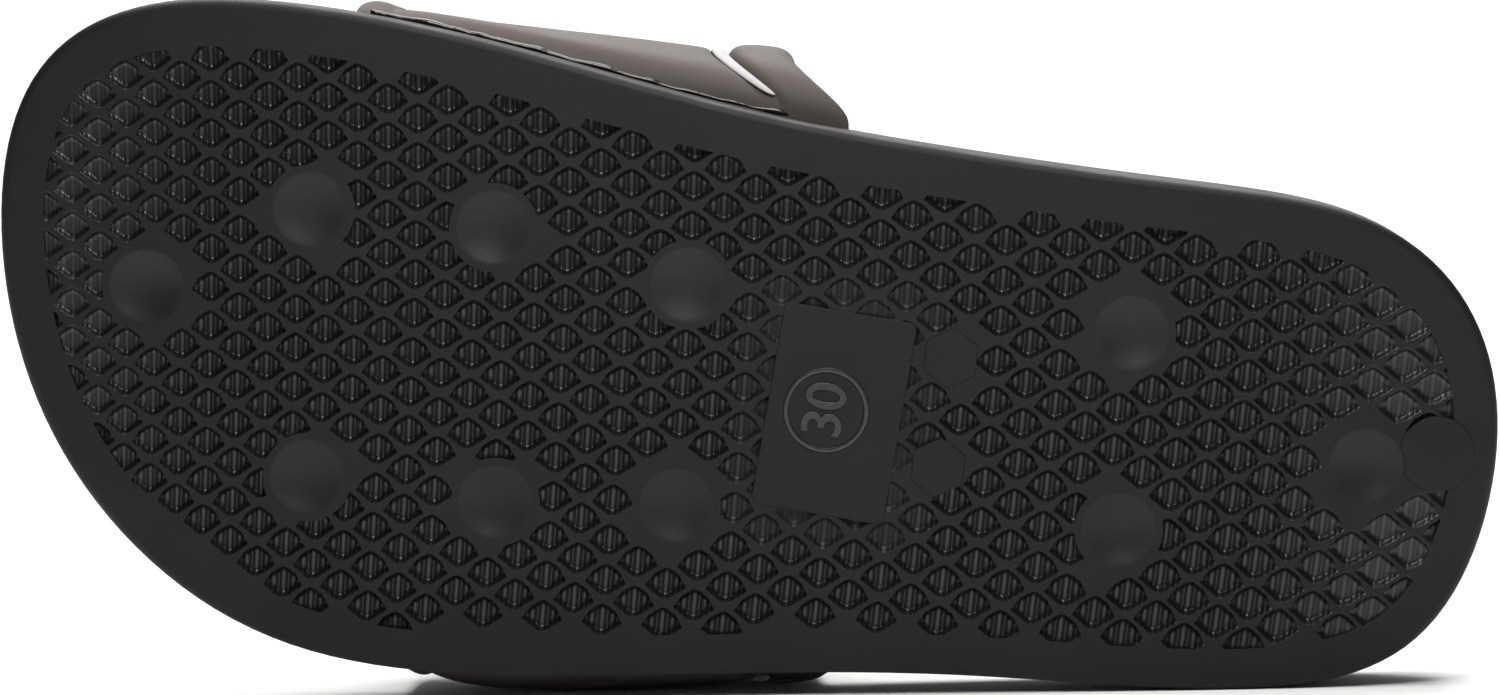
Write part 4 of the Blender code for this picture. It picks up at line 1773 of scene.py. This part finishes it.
@dataclass(frozen=True)
class GlossyGlueAndShade:
    """Glossy set glue, black so that it also paints the shadow in the joint's gap."""

    name: str
    shade: tuple = (0.004, 0.004, 0.004)
    roughness: float = 0.16
    ripple_scale: float = 700.0
    ripple_depth: float = 0.12 * MM

    def material(self) -> bpy.types.Material:
        """Builds the material."""
        bench = Bench(self.name)
        # The black is partly the glue's own colour and partly painted shadow for the dark gap in the joint.
        bench.set("Base Color", (*self.shade, 1.0))
        bench.set("Roughness", self.roughness)
        bench.set("Normal", bench.relief(bench.noise(self.ripple_scale, detail=3.0), self.ripple_depth))
        return bench.material


@dataclass
class JointShadowAndGlue:
    """A black bead along the joint under the band, on the inner side: partly real glue, partly painted
    shadow that fills the joint's shaded gap.
    """

    start: float = 2.0 * MM
    thin: float = 0.36 * MM
    swell: float = 0.30 * MM
    sides: int = 10
    step: float = 0.8 * MM
    drop: float = 0.75 * MM
    out: float = 0.25 * MM
    lumps: float = 210.0
    crumbs: float = 640.0
    finish: GlossyGlueAndShade = GlossyGlueAndShade("glue_and_joint_shadow")

    def build(self, band: Band) -> bpy.types.Object:
        """Builds and dresses the bead.

        Args:
            band: the band whose joint it fills.

        Returns:
            The piece.
        """
        front, rear = (share * LAST.length for share in (BAND_EDGES[0].front, BAND_EDGES[0].rear))
        loops = []
        for x in np.arange(front + self.start, rear, self.step):
            inner, _ = LAST.sides_at(x)
            lump = noise.noise(Vector((x * self.lumps, 0.0, 0.0)))
            lump += 0.5 * noise.noise(Vector((x * self.crumbs, 3.0, 0.0)))
            radius = self.thin + self.swell * max(lump, 0.0)
            y = float(inner) - self.out * (1 + lump)
            z = float(LAST.height_at("seam", x)) - self.drop + band.clearance
            turn = np.arange(self.sides) * 2 * math.pi / self.sides
            across, up = y + radius * np.cos(turn), z + radius * np.sin(turn)
            loops.append(np.column_stack([turn * 0 + x, across, up]))
        bead = helper_object(lofted(loops), "glue_and_joint_shadow")
        round_off(bead, 1)
        return lay_down(bead, self.finish.material(), sharp_degrees=180)


# Studio

class Lamp(NamedTuple):
    """A soft square lamp: where it hangs, its size and power, where it points and its colour."""

    name: str
    place: tuple
    size: float
    power: float
    aim: tuple = (0, 0, 0.045)
    shade: tuple = (1, 1, 1)


@dataclass
class Studio:
    """The pale ground, the soft lights and the camera."""

    lamps: tuple = (
        Lamp("key_light", (0.020, -0.190, 0.215), 0.10, 0.48),
        Lamp("ceiling_light", (0.0, 0.10, 1.1), 0.9, 16.0, shade=(1.0, 0.97, 0.94)),
        Lamp("ground_light", (0.0, 1.6, 1.6), 1.2, 50.0, aim=(0, 0.9, 0.2)),
    )
    room_light: float = 0.08
    ground_reach: float = 3.0
    bend_start: float = 0.8
    bend_radius: float = 0.9
    bend_steps: int = 12
    view_tilt: float = math.radians(5.0)
    axis_turn: float = math.radians(6.5)
    distance: float = 0.80
    frame_width: float = 0.2011
    sensor: float = 36.0
    aim: tuple = (102.43 * MM, -4.81 * MM, 0.0)
    ground: PaperWhite = PaperWhite("studio_ground")

    def camera(self) -> bpy.types.Object:
        """The camera, looking at the tread from a little to the inner side of the foot."""
        turned = LAID.to_3x3()
        long, inner, tread = turned.col[0], -turned.col[1], -turned.col[2]
        back = (tread * math.cos(self.view_tilt) + inner * math.sin(self.view_tilt)).normalized()
        up = inner * math.cos(self.axis_turn) - long * math.sin(self.axis_turn)
        up = (up - back * up.dot(back)).normalized()
        right = up.cross(back)
        place = LAID @ Vector(self.aim) + back * self.distance
        data = bpy.data.cameras.new("camera")
        data.sensor_width = self.sensor
        data.lens = self.sensor * self.distance / self.frame_width
        data.clip_start, data.clip_end = 0.05, 50.0
        camera = bpy.data.objects.new("camera", data)
        bpy.context.scene.collection.objects.link(camera)
        axes = Matrix((right, up, back)).transposed()
        camera.matrix_world = Matrix.Translation(place) @ axes.to_4x4()
        bpy.context.scene.camera = camera
        return camera

    def hang(self, lamp: Lamp) -> None:
        """Hangs one lamp.

        Args:
            lamp: where it hangs and how it shines.
        """
        data = bpy.data.lights.new(lamp.name, "AREA")
        data.shape = "SQUARE"
        data.size = lamp.size
        data.energy = lamp.power
        data.color = lamp.shade
        thing = bpy.data.objects.new(lamp.name, data)
        bpy.context.scene.collection.objects.link(thing)
        thing.location = lamp.place
        thing.visible_camera = False
        thing.rotation_mode = "QUATERNION"
        thing.rotation_quaternion = (Vector(lamp.place) - Vector(lamp.aim)).to_track_quat("Z", "Y")

    def sweep(self) -> bpy.types.Object:
        """The ground, curved up behind the shoe."""
        reach, start, radius = self.ground_reach, self.bend_start, self.bend_radius
        shape = bmesh.new()
        profile = [(-reach, 0.0), (start, 0.0)]
        for step in range(1, self.bend_steps + 1):
            bend = step * math.pi / 2 / self.bend_steps
            profile.append((start + radius * math.sin(bend), radius * (1 - math.cos(bend))))
        profile.append((start + radius, reach))
        points = [shape.verts.new((-reach, y, z)) for y, z in profile]
        edges = [shape.edges.new(pair) for pair in zip(points, points[1:])]
        made = bmesh.ops.extrude_edge_only(shape, edges=edges)["geom"]
        fresh = [piece for piece in made if isinstance(piece, bmesh.types.BMVert)]
        bmesh.ops.translate(shape, verts=fresh, vec=(2 * reach, 0, 0))
        ground = helper_object(shape, "ground")
        ground.data.shade_smooth()
        ground.data.materials.append(self.ground.material())
        return ground

    def build(self) -> None:
        """Sets up the ground, the lights and the camera."""
        scene = bpy.context.scene
        scene.view_settings.view_transform = "Standard"
        world = bpy.data.worlds.new("studio")
        world.use_nodes = True
        backdrop = world.node_tree.nodes["Background"]
        backdrop.inputs["Color"].default_value = (1, 1, 1, 1)
        backdrop.inputs["Strength"].default_value = self.room_light
        scene.world = world
        self.sweep()
        for lamp in self.lamps:
            self.hang(lamp)
        self.camera()


def main() -> None:
    """Builds the shoe's pieces in order, and then the studio."""
    logging.basicConfig(level=logging.INFO, format="%(name)s: %(message)s")
    band = Band()
    room = band.room()
    sole = Outsole()
    made = [sole.build(room)]
    made += SizeMark().build(-sole.plate_rise)
    made.append(Footbed().build(room))
    bpy.data.objects.remove(room)
    made.append(band.build())
    made.append(Stripe().build(band))
    made.append(JointShadowAndGlue().build(band))
    Studio().build()
    for piece in made:
        LOG.info("%s: %d faces", piece.name, len(piece.data.polygons))


if __name__ == "__main__":
    main()
